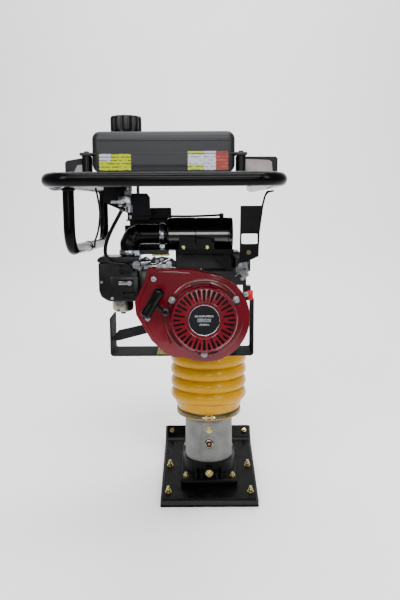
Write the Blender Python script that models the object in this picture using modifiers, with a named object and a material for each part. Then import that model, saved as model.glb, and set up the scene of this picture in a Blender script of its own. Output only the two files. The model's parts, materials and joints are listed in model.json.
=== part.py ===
# Tamping rammer: a petrol engine drives a crank gear, whose rod pumps a spring-loaded foot.
# The ground is z = 0. The leg axis starts over the middle of the shoe and leans forward (+Y).
# Everything above the foot is laid out in the leg's own frame: X across, Y forward, Z up the leg.

import bpy
import bmesh
from math import pi, sin, cos, tan, radians, atan2, sqrt
from mathutils import Matrix, Vector

# ---- driving dimensions, in metres ----
LEAN = radians(11.5)              # forward lean of the leg
FOOT_Z = 0.035                    # height at which the leg axis meets the foot
GAP = 0.0003                      # between pieces that touch
RUN = 0.0008                      # radial room of a sliding or turning fit

SHOE_WIDTH = 0.285
SHOE_HEEL_Y = -0.159
SHOE_FLAT_Y = 0.138               # where the toe starts to bend up
TOE_RADIUS = 0.075                # from the ground to the centre of the bend
TOE_ANGLE = radians(36)
TOE_TIP = 0.042                   # straight end of the toe
SOLE_THICK = 0.008
BOARD_THICK = 0.0145
PLATE_THICK = 0.007
PLATE_INSET = 0.007
SHOE_NUT = 0.0078                 # over the nut's corners, as a radius
SHOE_STUD = 0.0045
SHOE_BOLT_X = SHOE_WIDTH / 2 - 0.0225
SHOE_BOLT_Y = (-0.125, 0.008)
TOE_BOLT_RUN = 0.016              # from the bend to the toe bolts, up the straight end

CYL_RADIUS = 0.071
CYL_WALL = 0.010
STUD_X = 2 * CYL_RADIUS - 0.004   # between the foot's studs
STUD_Y = 2 * CYL_RADIUS + 0.026
FLANGE_X = STUD_X + 0.030
FLANGE_Y = STUD_Y + 0.032
FLANGE_THICK = 0.020
NUT_RADIUS = 0.0088
SOCKET_TOP = 0.040                # top of the foot socket, along the leg
DRAIN_UP = 0.0415                 # drain plug, above the underside of the foot

CYL_BOTTOM = 0.0205
CYL_TOP = 0.296
SEAT_RADIUS = 0.0905              # collar seat of the bellows
SEAT_LOW = 0.172
SEAT_HIGH = 0.200
BELLOWS_LOW = 0.176
BELLOWS_WALL = 0.003
BULGE_RADIUS = 0.1135
GROOVE_RADIUS = 0.104
BULGE_PITCH = 0.0362
FIRST_BULGE = 0.240
BULGES = 4
BULGE_STEPS = 5
COLLAR_HIGH = 0.015
CLAMP_WIDE = 0.0145
CLAMP_THICK = 0.0022
SIGHT_W = 0.099
FILLER_W = 0.140
BELLOWS_TOP = FIRST_BULGE + (BULGES - 0.5) * BULGE_PITCH + COLLAR_HIGH

GUIDE_WALL = 0.006
GUIDE_LOW = 0.234
NECK_LOW = 0.366
NECK_HIGH = 0.404
CRANK_W = 0.463                   # crank gear's axis
GEAR_MODULE = 0.0025
GEAR_TEETH = 44
PINION_TEETH = 14
GEAR_WIDE = 0.018
GEAR_BACK = -0.046                # rear face of the crank gear
THROW = 0.0125
PIN_RADIUS = 0.009
ROD_WIDE = 0.016
ROD_EYE = 0.016
ROD_SMALL = 0.013
ROD_LENGTH = 0.100
RAM_RADIUS = 0.014
PISTON_W = 0.190
PISTON_RADIUS = CYL_RADIUS - CYL_WALL - 0.006
PISTON_THICK = 0.016
SPRING_RADIUS = PISTON_RADIUS - 0.013
SPRING_WIRE = 0.0045
CASE_WALL = 0.007
CASE_RADIUS = GEAR_MODULE * (GEAR_TEETH / 2 + 0.75) + CASE_WALL + 0.0041
CASE_BACK = -0.070
CASE_FRONT = 0.052
COVER_THICK = 0.006
CASE_TOP = 0.600

ENGINE_X = -0.015
CENTRES = GEAR_MODULE * (GEAR_TEETH + PINION_TEETH) / 2
PINION_W = CRANK_W + sqrt(CENTRES ** 2 - ENGINE_X ** 2)
MESH_ANGLE = atan2(PINION_W - CRANK_W, ENGINE_X)    # from the crank gear's axis to the pinion's
BLOCK_WIDE = 0.180
BLOCK_BACK = -0.334
BLOCK_FRONT = -0.140
BLOCK_LOW = 0.434
BLOCK_HIGH = 0.605
SHAFT_RADIUS = 0.010
DRUM_RADIUS = 0.048
DRUM_BACK = -0.128
COVER_BACK = -0.395               # fan cover's rear face, towards the operator
COVER_DEEP = 0.058
RECOIL_RADIUS = 0.094
RECOIL_FACE = 0.079
RECOIL_DEEP = 0.034
RECOIL_SLOTS = 12
COVER_RADIUS = 0.1067
GRIP_V = -0.446                   # starter grip
GRIP_RADIUS = 0.0130
FAN_RADIUS = 0.088

CAN_RADIUS = 0.0405
CAN_LEFT = -0.106
CAN_RIGHT = 0.058
CAN_V = -0.285
CAN_W = 0.7275
ELBOW_RADIUS = 0.0255
ELBOW_BEND = 0.030
ELBOW_X = -0.199
SHELF_W = CAN_W - CAN_RADIUS - 0.0035
CARB_LEFT = -0.2765
CARB_RIGHT = -0.1745
CARB_LOW = 0.563
CARB_HIGH = 0.674
CARB_BACK = -0.330
CARB_FRONT = -0.250
BOWL_X = -0.219
BOWL_RADIUS = 0.0285

LOOP_TUBE = 0.0135
LOOP_X = -0.0900                  # middle of the handle
LOOP_WIDE = 0.434                 # between tube centres
LOOP_BACK = -0.726
LOOP_FRONT = 0.020
LOOP_CORNER = 0.050
LOOP_W = 0.847
GRIP_TUBE = 0.01225
GRIP_INSET = 0.006                # the side handle, inside the tube's middle
GRIP_LOW_BACK = 0.7050
GRIP_LOW_FRONT = 0.6920
GRIP_BACK = -0.530
GRIP_FRONT = -0.020
GRIP_CORNER = 0.050

TANK_X = -0.0975
TANK_WIDE = 0.292
TANK_BACK = -0.570
TANK_DEEP = 0.215
TANK_LOW = 0.866
TANK_HIGH = 0.949
CAP_X = -0.182
CAP_V = -0.485
CAP_RADIUS = 0.0335
CAP_HIGH = 0.0365
NECK_RISE = 0.004

DECK_W = 0.760                    # machine platform
DECK_LEFT = -0.2255
DECK_RIGHT = -0.010
DECK_BACK = -0.130
DECK_FRONT = 0.010
MOUNT_V = -0.060
MOUNT_W = 0.790                   # the handle rocks on its rubber mounts about this line
MOUNT_RADIUS = 0.020
MOUNT_LONG = 0.022                # each of the two bushes
SHEET = 0.004
BRACKET_TOP = 0.8575              # tank plate, between the handle's tubes
HOSE_RADIUS = 0.0050

GUARD_BEND = 0.008
CAP_LOBES = 9
SEGMENTS = 40


def clear_scene():
    for item in list(bpy.data.objects):
        bpy.data.objects.remove(item)


def new_collection(name):
    group = bpy.data.collections.new(name)
    bpy.context.scene.collection.children.link(group)
    return group


clear_scene()
PARTS = new_collection("tamping_rammer")
CUTTERS = new_collection("cutters")
LEG = bpy.data.objects.new("leg_frame", None)
LEG.location = (0, 0, FOOT_Z)
LEG.rotation_euler = (-LEAN, 0, 0)
PARTS.objects.link(LEG)

FINISHES = {
    "black_paint": ((0.012, 0.012, 0.013), 0.22, 0.0),
    "black_cast": ((0.02, 0.02, 0.021), 0.5, 0.2),
    "red_paint": ((0.32, 0.008, 0.02), 0.25, 0.0),
    "cast_aluminium": ((0.42, 0.42, 0.41), 0.45, 0.8),
    "zinc": ((0.62, 0.5, 0.22), 0.3, 1.0),
    "steel": ((0.55, 0.55, 0.55), 0.3, 1.0),
    "yellow_rubber": ((0.75, 0.42, 0.02), 0.35, 0.0),
    "black_rubber": ((0.02, 0.02, 0.02), 0.6, 0.0),
    "black_plastic": ((0.025, 0.025, 0.027), 0.45, 0.0),
    "red_plastic": ((0.55, 0.02, 0.02), 0.35, 0.0),
    "glass": ((0.5, 0.12, 0.05), 0.1, 0.0),
    "board": ((0.10, 0.07, 0.05), 0.7, 0.0),
}


def finish(thing, kind):
    colour, rough, metal = FINISHES[kind]
    material = bpy.data.materials.new(thing.name + "_" + kind)
    material.use_nodes = True
    shader = material.node_tree.nodes["Principled BSDF"]
    shader.inputs["Base Color"].default_value = (*colour, 1)
    shader.inputs["Roughness"].default_value = rough
    shader.inputs["Metallic"].default_value = metal
    thing.data.materials.clear()
    thing.data.materials.append(material)


def keep(name, data, kind, parent=LEG):
    thing = bpy.data.objects.new(name, data)
    if kind is None:
        CUTTERS.objects.link(thing)
        thing.hide_render = True
        thing.display_type = "WIRE"
    else:
        PARTS.objects.link(thing)
        finish(thing, kind)
    thing.parent = parent
    return thing


def mesh_object(name, shape, kind, parent=LEG):
    mesh = bpy.data.meshes.new(name)
    bmesh.ops.recalc_face_normals(shape, faces=shape.faces)
    shape.to_mesh(mesh)
    shape.free()
    return keep(name, mesh, kind, parent)


def box(name, low, high, kind=None, round_edges=0.0, parent=LEG):
    shape = bmesh.new()
    bmesh.ops.create_cube(shape, size=1)
    size = [b - a for a, b in zip(low, high)]
    middle = [(a + b) / 2 for a, b in zip(low, high)]
    place = Matrix.Translation(middle) @ Matrix.Diagonal((*size, 1))
    bmesh.ops.transform(shape, matrix=place, verts=shape.verts)
    thing = mesh_object(name, shape, kind, parent)
    if round_edges:
        soften(thing, round_edges)
    return thing


def soften(thing, width, steps=2, angle=30):
    bevel = thing.modifiers.new("rounded", "BEVEL")
    bevel.width = width
    bevel.segments = steps
    bevel.limit_method = "ANGLE"
    bevel.angle_limit = radians(angle)


def along(axis):
    turns = {"X": Matrix.Rotation(pi / 2, 4, "Y"), "Y": Matrix.Rotation(-pi / 2, 4, "X"),
             "Z": Matrix.Identity(4)}
    return turns[axis]


def rod(name, radius, start, end, kind=None, sides=SEGMENTS, tip=None, parent=LEG):
    # a cylinder or cone from one point to another
    start, end = Vector(start), Vector(end)
    run = end - start
    shape = bmesh.new()
    bmesh.ops.create_cone(shape, cap_ends=True, segments=sides, radius1=radius,
                          radius2=radius if tip is None else tip, depth=run.length)
    turn = run.to_track_quat("Z", "X").to_matrix().to_4x4()
    bmesh.ops.transform(shape, matrix=Matrix.Translation((start + end) / 2) @ turn, verts=shape.verts)
    return mesh_object(name, shape, kind, parent)


def turned(name, profile, kind=None, at=(0, 0, 0), axis="Z", steps=SEGMENTS, parent=LEG):
    # a closed profile of (radius, height) points, or an open one with both ends on the axis
    area = sum(a[0] * b[1] - b[0] * a[1] for a, b in zip(profile, profile[1:] + profile[:1]))
    if area > 0:
        profile = profile[::-1]
    mesh = bpy.data.meshes.new(name)
    edges = [(i, i + 1) for i in range(len(profile) - 1)]
    if profile[0][0] > 0 or profile[-1][0] > 0:
        edges.append((len(profile) - 1, 0))
    mesh.from_pydata([(r, 0, h) for r, h in profile], edges, [])
    thing = keep(name, mesh, kind, parent)
    screw = thing.modifiers.new("turned", "SCREW")
    screw.steps = steps
    screw.render_steps = steps
    screw.use_merge_vertices = True
    screw.merge_threshold = 0.00005
    thing.matrix_local = Matrix.Translation(at) @ along(axis)
    return thing


def ring(name, inner, outer, low, high, kind=None, at=(0, 0, 0), axis="Z", steps=SEGMENTS):
    return turned(name, [(outer, high), (outer, low), (inner, low), (inner, high)], kind, at, axis, steps)


def smooth_path(points, radius, arc_points=6):
    # rounds the corners of a route with arcs of one radius
    route = [Vector(p) for p in points]
    result = [route[0]]
    for before, corner, after in zip(route, route[1:], route[2:]):
        into, out = (corner - before).normalized(), (after - corner).normalized()
        half = into.angle(out) / 2
        cut = radius * tan(half)
        first = corner - into * cut
        centre = first + ((out - into * into.dot(out)).normalized() * radius)
        for step in range(arc_points + 1):
            swing = 2 * half * step / arc_points
            result.append(centre + (first - centre) * cos(swing) + into * radius * sin(swing))
    result.append(route[-1])
    return result


def tube(name, points, radius, kind=None, closed=False, resolution=3, parent=LEG):
    curve = bpy.data.curves.new(name, "CURVE")
    curve.dimensions = "3D"
    curve.bevel_depth = radius
    curve.bevel_resolution = resolution
    curve.use_fill_caps = True
    spline = curve.splines.new("POLY")
    spline.points.add(len(points) - 1)
    for spot, point in zip(spline.points, points):
        spot.co = (*point, 1)
    spline.use_cyclic_u = closed
    return keep(name, curve, kind, parent)


def as_mesh(thing):
    # a curve's evaluated surface as a closed mesh object of the same name
    bpy.context.view_layer.update()
    name = thing.name
    mesh = bpy.data.meshes.new_from_object(thing.evaluated_get(bpy.context.evaluated_depsgraph_get()))
    shape = bmesh.new()
    shape.from_mesh(mesh)
    bmesh.ops.remove_doubles(shape, verts=shape.verts, dist=0.00001)
    shape.to_mesh(mesh)
    shape.free()
    place = thing.matrix_local.copy()
    group = thing.users_collection[0]
    parent = thing.parent
    bpy.data.objects.remove(thing)
    result = bpy.data.objects.new(name, mesh)
    group.objects.link(result)
    result.parent = parent
    result.matrix_local = place
    if group == CUTTERS:
        result.hide_render = True
        result.display_type = "WIRE"
    return result


def plate(name, outline, thick, kind=None, at=(0, 0, 0), facing="Z", parent=LEG, holes=()):
    # a flat outline, facing along an axis; with facing Y its points are (x, up the leg)
    curve = bpy.data.curves.new(name, "CURVE")
    curve.dimensions = "2D"
    curve.fill_mode = "BOTH"
    curve.extrude = thick / 2
    for loop in (outline, *holes):
        spline = curve.splines.new("POLY")
        spline.points.add(len(loop) - 1)
        for spot, point in zip(spline.points, loop):
            spot.co = (*point, 0, 1)
        spline.use_cyclic_u = True
    thing = keep(name, curve, kind, parent)
    turn = {"Z": Matrix.Identity(4), "Y": Matrix.Rotation(pi / 2, 4, "X"),
            "X": Matrix.Rotation(pi / 2, 4, "Z") @ Matrix.Rotation(pi / 2, 4, "X")}[facing]
    thing.matrix_local = Matrix.Translation(at) @ turn
    return as_mesh(thing)


def circle(radius, count=24, centre=(0, 0), start=0.0):
    angles = [start + 2 * pi * i / count for i in range(count)]
    return [(centre[0] + radius * cos(a), centre[1] + radius * sin(a)) for a in angles]


def rounded(low, high, radius, count=4):
    # a rectangle's outline with round corners
    corners = [(high[0] - radius, high[1] - radius, 0), (low[0] + radius, high[1] - radius, 1),
               (low[0] + radius, low[1] + radius, 2), (high[0] - radius, low[1] + radius, 3)]
    points = []
    for x, y, quarter in corners:
        for step in range(count + 1):
            angle = pi / 2 * (quarter + step / count)
            points.append((x + radius * cos(angle), y + radius * sin(angle)))
    return points


def boolean(thing, other, operation):
    change = thing.modifiers.new(operation.lower(), "BOOLEAN")
    change.operation = operation
    change.object = other
    change.solver = "EXACT"
    return thing


def cut(thing, *others):
    for other in others:
        boolean(thing, other, "DIFFERENCE")
    return thing


def join(thing, *others):
    for other in others:
        boolean(thing, other, "UNION")
    return thing


def hexagon(name, radius, start, end, kind, parent=LEG):
    return rod(name, radius, start, end, kind, 6, None, parent)


# ---- the shoe and the foot, in the ground frame ----

def toe_profile(low, high, front):
    # side outline of a layer between two heights; the toe bends up about one centre
    steps = 6
    sides = []
    for height in (low, high):
        radius = TOE_RADIUS - height
        bend = [(SHOE_FLAT_Y + radius * sin(TOE_ANGLE * i / steps),
                 TOE_RADIUS - radius * cos(TOE_ANGLE * i / steps)) for i in range(steps + 1)]
        bend.append((bend[-1][0] + cos(TOE_ANGLE) * front, bend[-1][1] + sin(TOE_ANGLE) * front))
        sides.append(bend)
    return [(SHOE_HEEL_Y, low)] + sides[0] + sides[1][::-1] + [(SHOE_HEEL_Y, high)]


def shoe_layer(name, low, high, front, width, kind):
    return plate(name, toe_profile(low, high, front), width, kind, facing="X", parent=None)


def make_shoe():
    board_low = SOLE_THICK + GAP
    board_high = SOLE_THICK + BOARD_THICK
    plate_low = board_high + GAP
    top = plate_low + PLATE_THICK
    shoe_layer("shoe_sole", 0, SOLE_THICK, TOE_TIP, SHOE_WIDTH, "black_paint")
    shoe_layer("shoe_board", board_low, board_high, TOE_TIP - 0.002, SHOE_WIDTH - 0.002, "board")
    shoe_layer("shoe_plate", plate_low, top, TOE_TIP - 0.004, SHOE_WIDTH - 2 * PLATE_INSET, "black_paint")
    seats = [(y, top, 0) for y in SHOE_BOLT_Y]
    bend = TOE_RADIUS - top
    seats.append((SHOE_FLAT_Y + bend * sin(TOE_ANGLE) + TOE_BOLT_RUN * cos(TOE_ANGLE),
                  TOE_RADIUS - bend * cos(TOE_ANGLE) + TOE_BOLT_RUN * sin(TOE_ANGLE), TOE_ANGLE))
    number = 1
    for y, z, tilt in seats:
        up = Vector((0, -sin(tilt), cos(tilt)))
        for side in (-1, 1):
            name = "shoe_bolt_%d" % number
            spot = Vector((side * SHOE_BOLT_X, y, z)) + up * (2 * GAP)
            bolt = hexagon(name, SHOE_NUT, spot, spot + up * 0.0085, "zinc", None)
            stud = rod(name + "_stud", SHOE_STUD, spot + up * 0.004, spot + up * 0.0175, None, 12, None,
                       None)
            join(bolt, stud)
            number += 1
    return top


def leg_point(across, forward, up):
    # the leg frame's point, in the ground frame
    return Vector((across, forward * cos(LEAN) + up * sin(LEAN),
                   FOOT_Z - forward * sin(LEAN) + up * cos(LEAN)))


def make_foot(floor):
    low = floor + GAP
    high = low + FLANGE_THICK
    back = -FLANGE_Y / 2
    foot = box("foot_casting", (-FLANGE_X / 2, back, low), (FLANGE_X / 2, -back, high), "black_cast", 0.006,
               None)
    socket = rod("foot_socket", CYL_RADIUS + 0.012, leg_point(0, 0, -0.02), leg_point(0, 0, SOCKET_TOP),
                 None, SEGMENTS, CYL_RADIUS + 0.0085, None)
    ribs = []
    for i, x in enumerate((-0.038, -0.022, 0.022, 0.038)):
        ribs.append(box("foot_rib_%d" % i, (x - 0.0025, back + 0.008, low + 0.004),
                        (x + 0.0025, 0, high + 0.020),
                        None, 0.001, None))
    boss = box("drain_boss", (-0.0105, back + 0.006, low + 0.004), (0.0105, 0, low + DRAIN_UP + 0.013),
               None, 0.002, None)
    below = box("foot_trim", (-0.2, -0.2, -0.1), (0.2, 0.2, low), None, 0, None)
    bore = rod("foot_bore", CYL_RADIUS + RUN, leg_point(0, 0, CYL_BOTTOM - GAP),
               leg_point(0, 0, SOCKET_TOP + 0.05),
               None, SEGMENTS, None, None)
    join(foot, socket, *ribs, boss)
    cut(foot, below, bore)
    seat = high + GAP
    number = 1
    for x in (-STUD_X / 2, STUD_X / 2):
        for y in (-STUD_Y / 2, STUD_Y / 2):
            name = "foot_nut_%d" % number
            nut = hexagon(name, NUT_RADIUS, (x, y, seat), (x, y, seat + 0.009), "zinc", None)
            join(nut, rod(name + "_stud", 0.005, (x, y, seat + 0.004), (x, y, seat + 0.0165), None, 12,
                          None, None))
            number += 1
    face = Vector((0, back + 0.006 - GAP, low + DRAIN_UP))
    drain = hexagon("drain_plug", 0.0095, face + Vector((0, -0.008, 0)), face, "zinc", None)
    join(drain, rod("drain_washer", 0.0115, face + Vector((0, -0.0025, 0)), face, None, 20, None, None))


# ---- the leg: spring cylinder, bellows and ram ----

def make_leg():
    inner = CYL_RADIUS - CYL_WALL
    roof = CYL_TOP - 0.012
    profile = [(RAM_RADIUS + RUN, CYL_TOP), (CYL_RADIUS, CYL_TOP), (CYL_RADIUS, SEAT_HIGH),
               (SEAT_RADIUS, SEAT_HIGH), (SEAT_RADIUS, SEAT_LOW), (CYL_RADIUS, SEAT_LOW - 0.012),
               (CYL_RADIUS, CYL_BOTTOM), (inner, CYL_BOTTOM), (inner, roof), (RAM_RADIUS + RUN, roof)]
    cylinder = turned("spring_cylinder", profile, "cast_aluminium")
    pad_deep = 0.004
    back = -CYL_RADIUS - pad_deep
    pad = box("cylinder_pad", (-0.0195, back, SIGHT_W), (0.0195, -CYL_RADIUS + 0.012, FILLER_W + 0.022),
              None, 0.003)
    boss = rod("sight_boss", 0.0205, (0, back, SIGHT_W), (0, -CYL_RADIUS + 0.012, SIGHT_W), None, 28)
    clear = rod("pad_bore", inner, (0, 0, 0.04), (0, 0, 0.17))
    join(pad, boss)
    cut(pad, clear)
    join(cylinder, pad)
    face = back - GAP
    filler = hexagon("filler_plug", 0.0088, (0, face - 0.007, FILLER_W), (0, face, FILLER_W), "zinc")
    join(filler, rod("filler_washer", 0.0105, (0, face - 0.002, FILLER_W), (0, face, FILLER_W), None, 20))
    sight = [(0, 0.0), (0.0165, 0.0), (0.0165, 0.005), (0.0125, 0.0085), (0.0095, 0.0085), (0.0095, 0.006),
             (0, 0.006)]
    glass = turned("sight_glass", sight, "glass")
    glass.matrix_local = Matrix.Translation((0, face, SIGHT_W)) @ Matrix.Rotation(pi / 2, 4, "X")


def bellows_profile(inset):
    # a row of round bulges between two plain collars, bottom to top
    collar = SEAT_RADIUS + GAP + BELLOWS_WALL - inset
    start = FIRST_BULGE - BULGE_PITCH / 2
    points = [(collar, BELLOWS_LOW), (collar, start)]
    for i in range(BULGES * BULGE_STEPS + 1):
        wave = abs(sin(pi * i / BULGE_STEPS))
        radius = GROOVE_RADIUS + (BULGE_RADIUS - GROOVE_RADIUS) * wave ** 0.8
        points.append((radius - inset, start + BULGE_PITCH * i / BULGE_STEPS))
    points.append((collar, points[-1][1] + 0.001))
    points.append((collar, BELLOWS_TOP))
    return points


def make_bellows():
    turned("bellows", bellows_profile(0) + bellows_profile(BELLOWS_WALL)[::-1], "yellow_rubber")
    collar = SEAT_RADIUS + BELLOWS_WALL + 2 * GAP
    outer = collar + CLAMP_THICK
    low = BELLOWS_LOW + 0.003
    clamp = ring("lower_clamp", collar, outer, low, low + CLAMP_WIDE, "zinc")
    middle = low + CLAMP_WIDE / 2
    back = -collar - 0.0045
    join(clamp, rod("lower_clamp_screw", 0.004, (-0.014, back, middle), (0.014, back, middle), None, 12))
    ring("upper_clamp", collar, outer, BELLOWS_TOP - COLLAR_HIGH + 0.002, BELLOWS_TOP - 0.001, "zinc")


def spring_coil(name, low, high, turns):
    count = turns * 12
    rise = high - low - 2 * SPRING_WIRE
    points = []
    for i in range(count + 1):
        angle = 2 * pi * i / 12
        height = low + SPRING_WIRE + rise * i / count
        points.append((SPRING_RADIUS * cos(angle), SPRING_RADIUS * sin(angle), height))
    tube(name, points, SPRING_WIRE, "steel", resolution=2)


def make_ram():
    # the wrist pin is the drive's open joint: the ram ends below the rod's lowest place
    top = CRANK_W - THROW - ROD_LENGTH - ROD_SMALL - 0.003
    piston_top = PISTON_W + PISTON_THICK
    profile = [(0, top), (RAM_RADIUS, top), (RAM_RADIUS, piston_top), (PISTON_RADIUS, piston_top),
               (PISTON_RADIUS, PISTON_W), (0, PISTON_W)]
    turned("ram_rod", profile, "steel", steps=32)
    spring_coil("upper_spring", piston_top + 0.017, CYL_TOP - 0.012 - 0.002, 5)
    spring_coil("lower_spring", 0.052, PISTON_W - 0.016, 5)


# ---- crankcase and drive ----

def gear_outline(teeth, phase):
    pitch = GEAR_MODULE * teeth / 2
    root, tip = pitch - 1.1 * GEAR_MODULE, pitch + 0.75 * GEAR_MODULE
    step = 2 * pi / teeth
    points = []
    for i in range(teeth):
        for share, radius in ((-0.27, root), (-0.13, tip), (0.13, tip), (0.27, root)):
            angle = phase + step * (i + share)
            points.append((radius * cos(angle), radius * sin(angle)))
    return points


def make_crankcase():
    guide_inner = CYL_RADIUS + RUN
    ring("guide_cylinder", guide_inner, guide_inner + GUIDE_WALL, GUIDE_LOW, NECK_LOW - GAP,
         "cast_aluminium")
    floor = CASE_BACK + CASE_WALL
    case = rod("crankcase", CASE_RADIUS, (0, CASE_BACK, CRANK_W), (0, CASE_FRONT, CRANK_W), "black_cast",
               48)
    neck = rod("case_neck", SEAT_RADIUS, (0, 0, NECK_LOW), (0, 0, NECK_HIGH))
    tower = box("case_tower", (-0.060, CASE_BACK + 0.001, CRANK_W), (0.050, CASE_FRONT - 0.001, CASE_TOP),
                None, 0.008)
    trim = box("case_trim", (-0.2, -0.2, NECK_LOW - 0.2), (0.2, 0.2, NECK_LOW))
    hollow = rod("case_hollow", CASE_RADIUS - CASE_WALL - 0.003, (0, floor, CRANK_W),
                 (0, CASE_FRONT + 0.02, CRANK_W))
    attic = rod("case_attic", 0.034, (ENGINE_X, floor + 0.001, PINION_W),
                (ENGINE_X, CASE_FRONT - CASE_WALL, PINION_W))
    mouth = rod("case_mouth", THROW + ROD_SMALL + 0.003, (0, 0, NECK_LOW - 0.05), (0, 0, CRANK_W - 0.03))
    shaft_hole = rod("case_shaft_hole", 0.0165, (ENGINE_X, CASE_BACK - 0.02, PINION_W),
                     (ENGINE_X, 0, PINION_W))
    axle_hole = rod("case_axle_hole", 0.0125, (0, CASE_BACK - 0.02, CRANK_W), (0, -0.04, CRANK_W))
    join(case, neck, tower)
    cut(case, trim, hollow, attic, mouth, shaft_hole, axle_hole)
    lowest = NECK_HIGH + 0.0005 - CRANK_W
    outline = [(x, max(up, lowest)) for x, up in circle(CASE_RADIUS - 0.004, 48)]
    middle = CASE_FRONT + GAP + COVER_THICK / 2
    plate("crankcase_cover", outline, COVER_THICK, "black_cast", (0, middle, CRANK_W), "Y")


def make_drive():
    half = GEAR_WIDE / 2
    gear_middle = GEAR_BACK + half
    teeth = gear_outline(GEAR_TEETH, MESH_ANGLE)
    gear = plate("crank_gear", teeth, GEAR_WIDE, "steel", (0, gear_middle, CRANK_W), "Y")
    axle = rod("crank_axle", 0.012, (0, CASE_BACK - 0.001, CRANK_W), (0, GEAR_BACK + 0.002, CRANK_W))
    top = CRANK_W + THROW
    pin = rod("crank_pin", PIN_RADIUS, (0, GEAR_BACK + GEAR_WIDE - 0.004, top),
              (0, ROD_WIDE / 2 + 0.004, top))
    join(gear, axle, pin)
    phase = MESH_ANGLE + pi + pi / PINION_TEETH
    teeth = gear_outline(PINION_TEETH, phase)
    drum = plate("clutch_drum", teeth, GEAR_WIDE, "steel", (ENGINE_X, gear_middle, PINION_W), "Y")
    bell_floor = CASE_BACK - 0.004
    neck = rod("drum_neck", 0.0135, (ENGINE_X, GEAR_BACK + 0.002, PINION_W),
               (ENGINE_X, bell_floor - 0.002, PINION_W))
    profile = [(0, bell_floor - 0.006), (0, bell_floor), (DRUM_RADIUS, bell_floor),
               (DRUM_RADIUS, DRUM_BACK),
               (DRUM_RADIUS - 0.004, DRUM_BACK), (DRUM_RADIUS - 0.004, bell_floor - 0.006)]
    join(drum, neck, turned("drum_bell", profile, None, (ENGINE_X, 0, PINION_W), "Y"))
    low = top - ROD_LENGTH
    half = ROD_WIDE / 2
    eye = rod("connecting_rod", ROD_EYE, (0, -half, top), (0, half, top), "steel", 28)
    small = rod("rod_small_end", ROD_SMALL, (0, -half, low), (0, half, low), None, 28)
    shank = box("rod_shank", (-0.007, -0.005, low), (0.007, 0.005, top))
    hole = rod("rod_big_hole", PIN_RADIUS + RUN, (0, -0.05, top), (0, 0.05, top), None, 28)
    pin_hole = rod("rod_pin_hole", 0.007, (0, -0.05, low), (0, 0.05, low), None, 20)
    join(eye, small, shank)
    cut(eye, hole, pin_hole)


# ---- engine ----

def make_engine():
    left, right = ENGINE_X - BLOCK_WIDE / 2, ENGINE_X + BLOCK_WIDE / 2 - 0.01
    block = box("engine_block", (left, BLOCK_BACK, BLOCK_LOW), (right, BLOCK_FRONT, BLOCK_HIGH),
                "black_cast", 0.012)
    middle = (BLOCK_BACK + BLOCK_FRONT) / 2
    tilt = Matrix.Translation((-0.060, middle, BLOCK_HIGH - 0.015)) @ Matrix.Rotation(radians(-25), 4, "Y")
    barrel = box("engine_barrel", (-0.040, -0.045, -0.03), (0.040, 0.045, 0.070), None, 0.006)
    barrel.matrix_local = tilt
    fins = []
    for i in range(5):
        low = 0.014 + i * 0.0115
        fin = box("engine_fin_%d" % i, (-0.052, -0.058, low), (0.052, 0.058, low + 0.0045))
        fin.matrix_local = tilt
        fins.append(fin)
    bore = rod("engine_bore", SHAFT_RADIUS + RUN, (ENGINE_X, BLOCK_BACK - 0.02, PINION_W),
               (ENGINE_X, BLOCK_FRONT + 0.02, PINION_W), None, 28)
    join(block, barrel, *fins)
    cut(block, bore)
    hub = DRUM_RADIUS - 0.008
    profile = [(0, -0.390), (0.030, -0.390), (0.030, -0.378), (FAN_RADIUS, -0.372), (FAN_RADIUS, -0.352),
               (0.030, -0.346), (SHAFT_RADIUS, -0.346), (SHAFT_RADIUS, DRUM_BACK + 0.006),
               (hub, DRUM_BACK + 0.006), (hub, DRUM_BACK + 0.036), (0, DRUM_BACK + 0.036)]
    turned("flywheel", profile, "cast_aluminium", (ENGINE_X, 0, PINION_W), "Y", 36)


def cover_outline():
    # the fan cover: round below, a shoulder at the left and a duct up to the cylinder
    across, up = ENGINE_X + 0.0025, PINION_W - 0.001
    angles = [radians(a) for a in range(85, -120, -8)]
    arc = [(across + COVER_RADIUS * cos(a), up + COVER_RADIUS * sin(a)) for a in angles]
    shoulder = ((-0.0753, -0.0953), (-0.0968, -0.0845), (-0.1284, -0.0539), (-0.1640, 0.0088),
                (-0.1671, 0.0389), (-0.1438, 0.0866), (-0.1349, 0.1197), (-0.0275, 0.1151))
    return arc + [(across + x, up + height) for x, height in shoulder]


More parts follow.
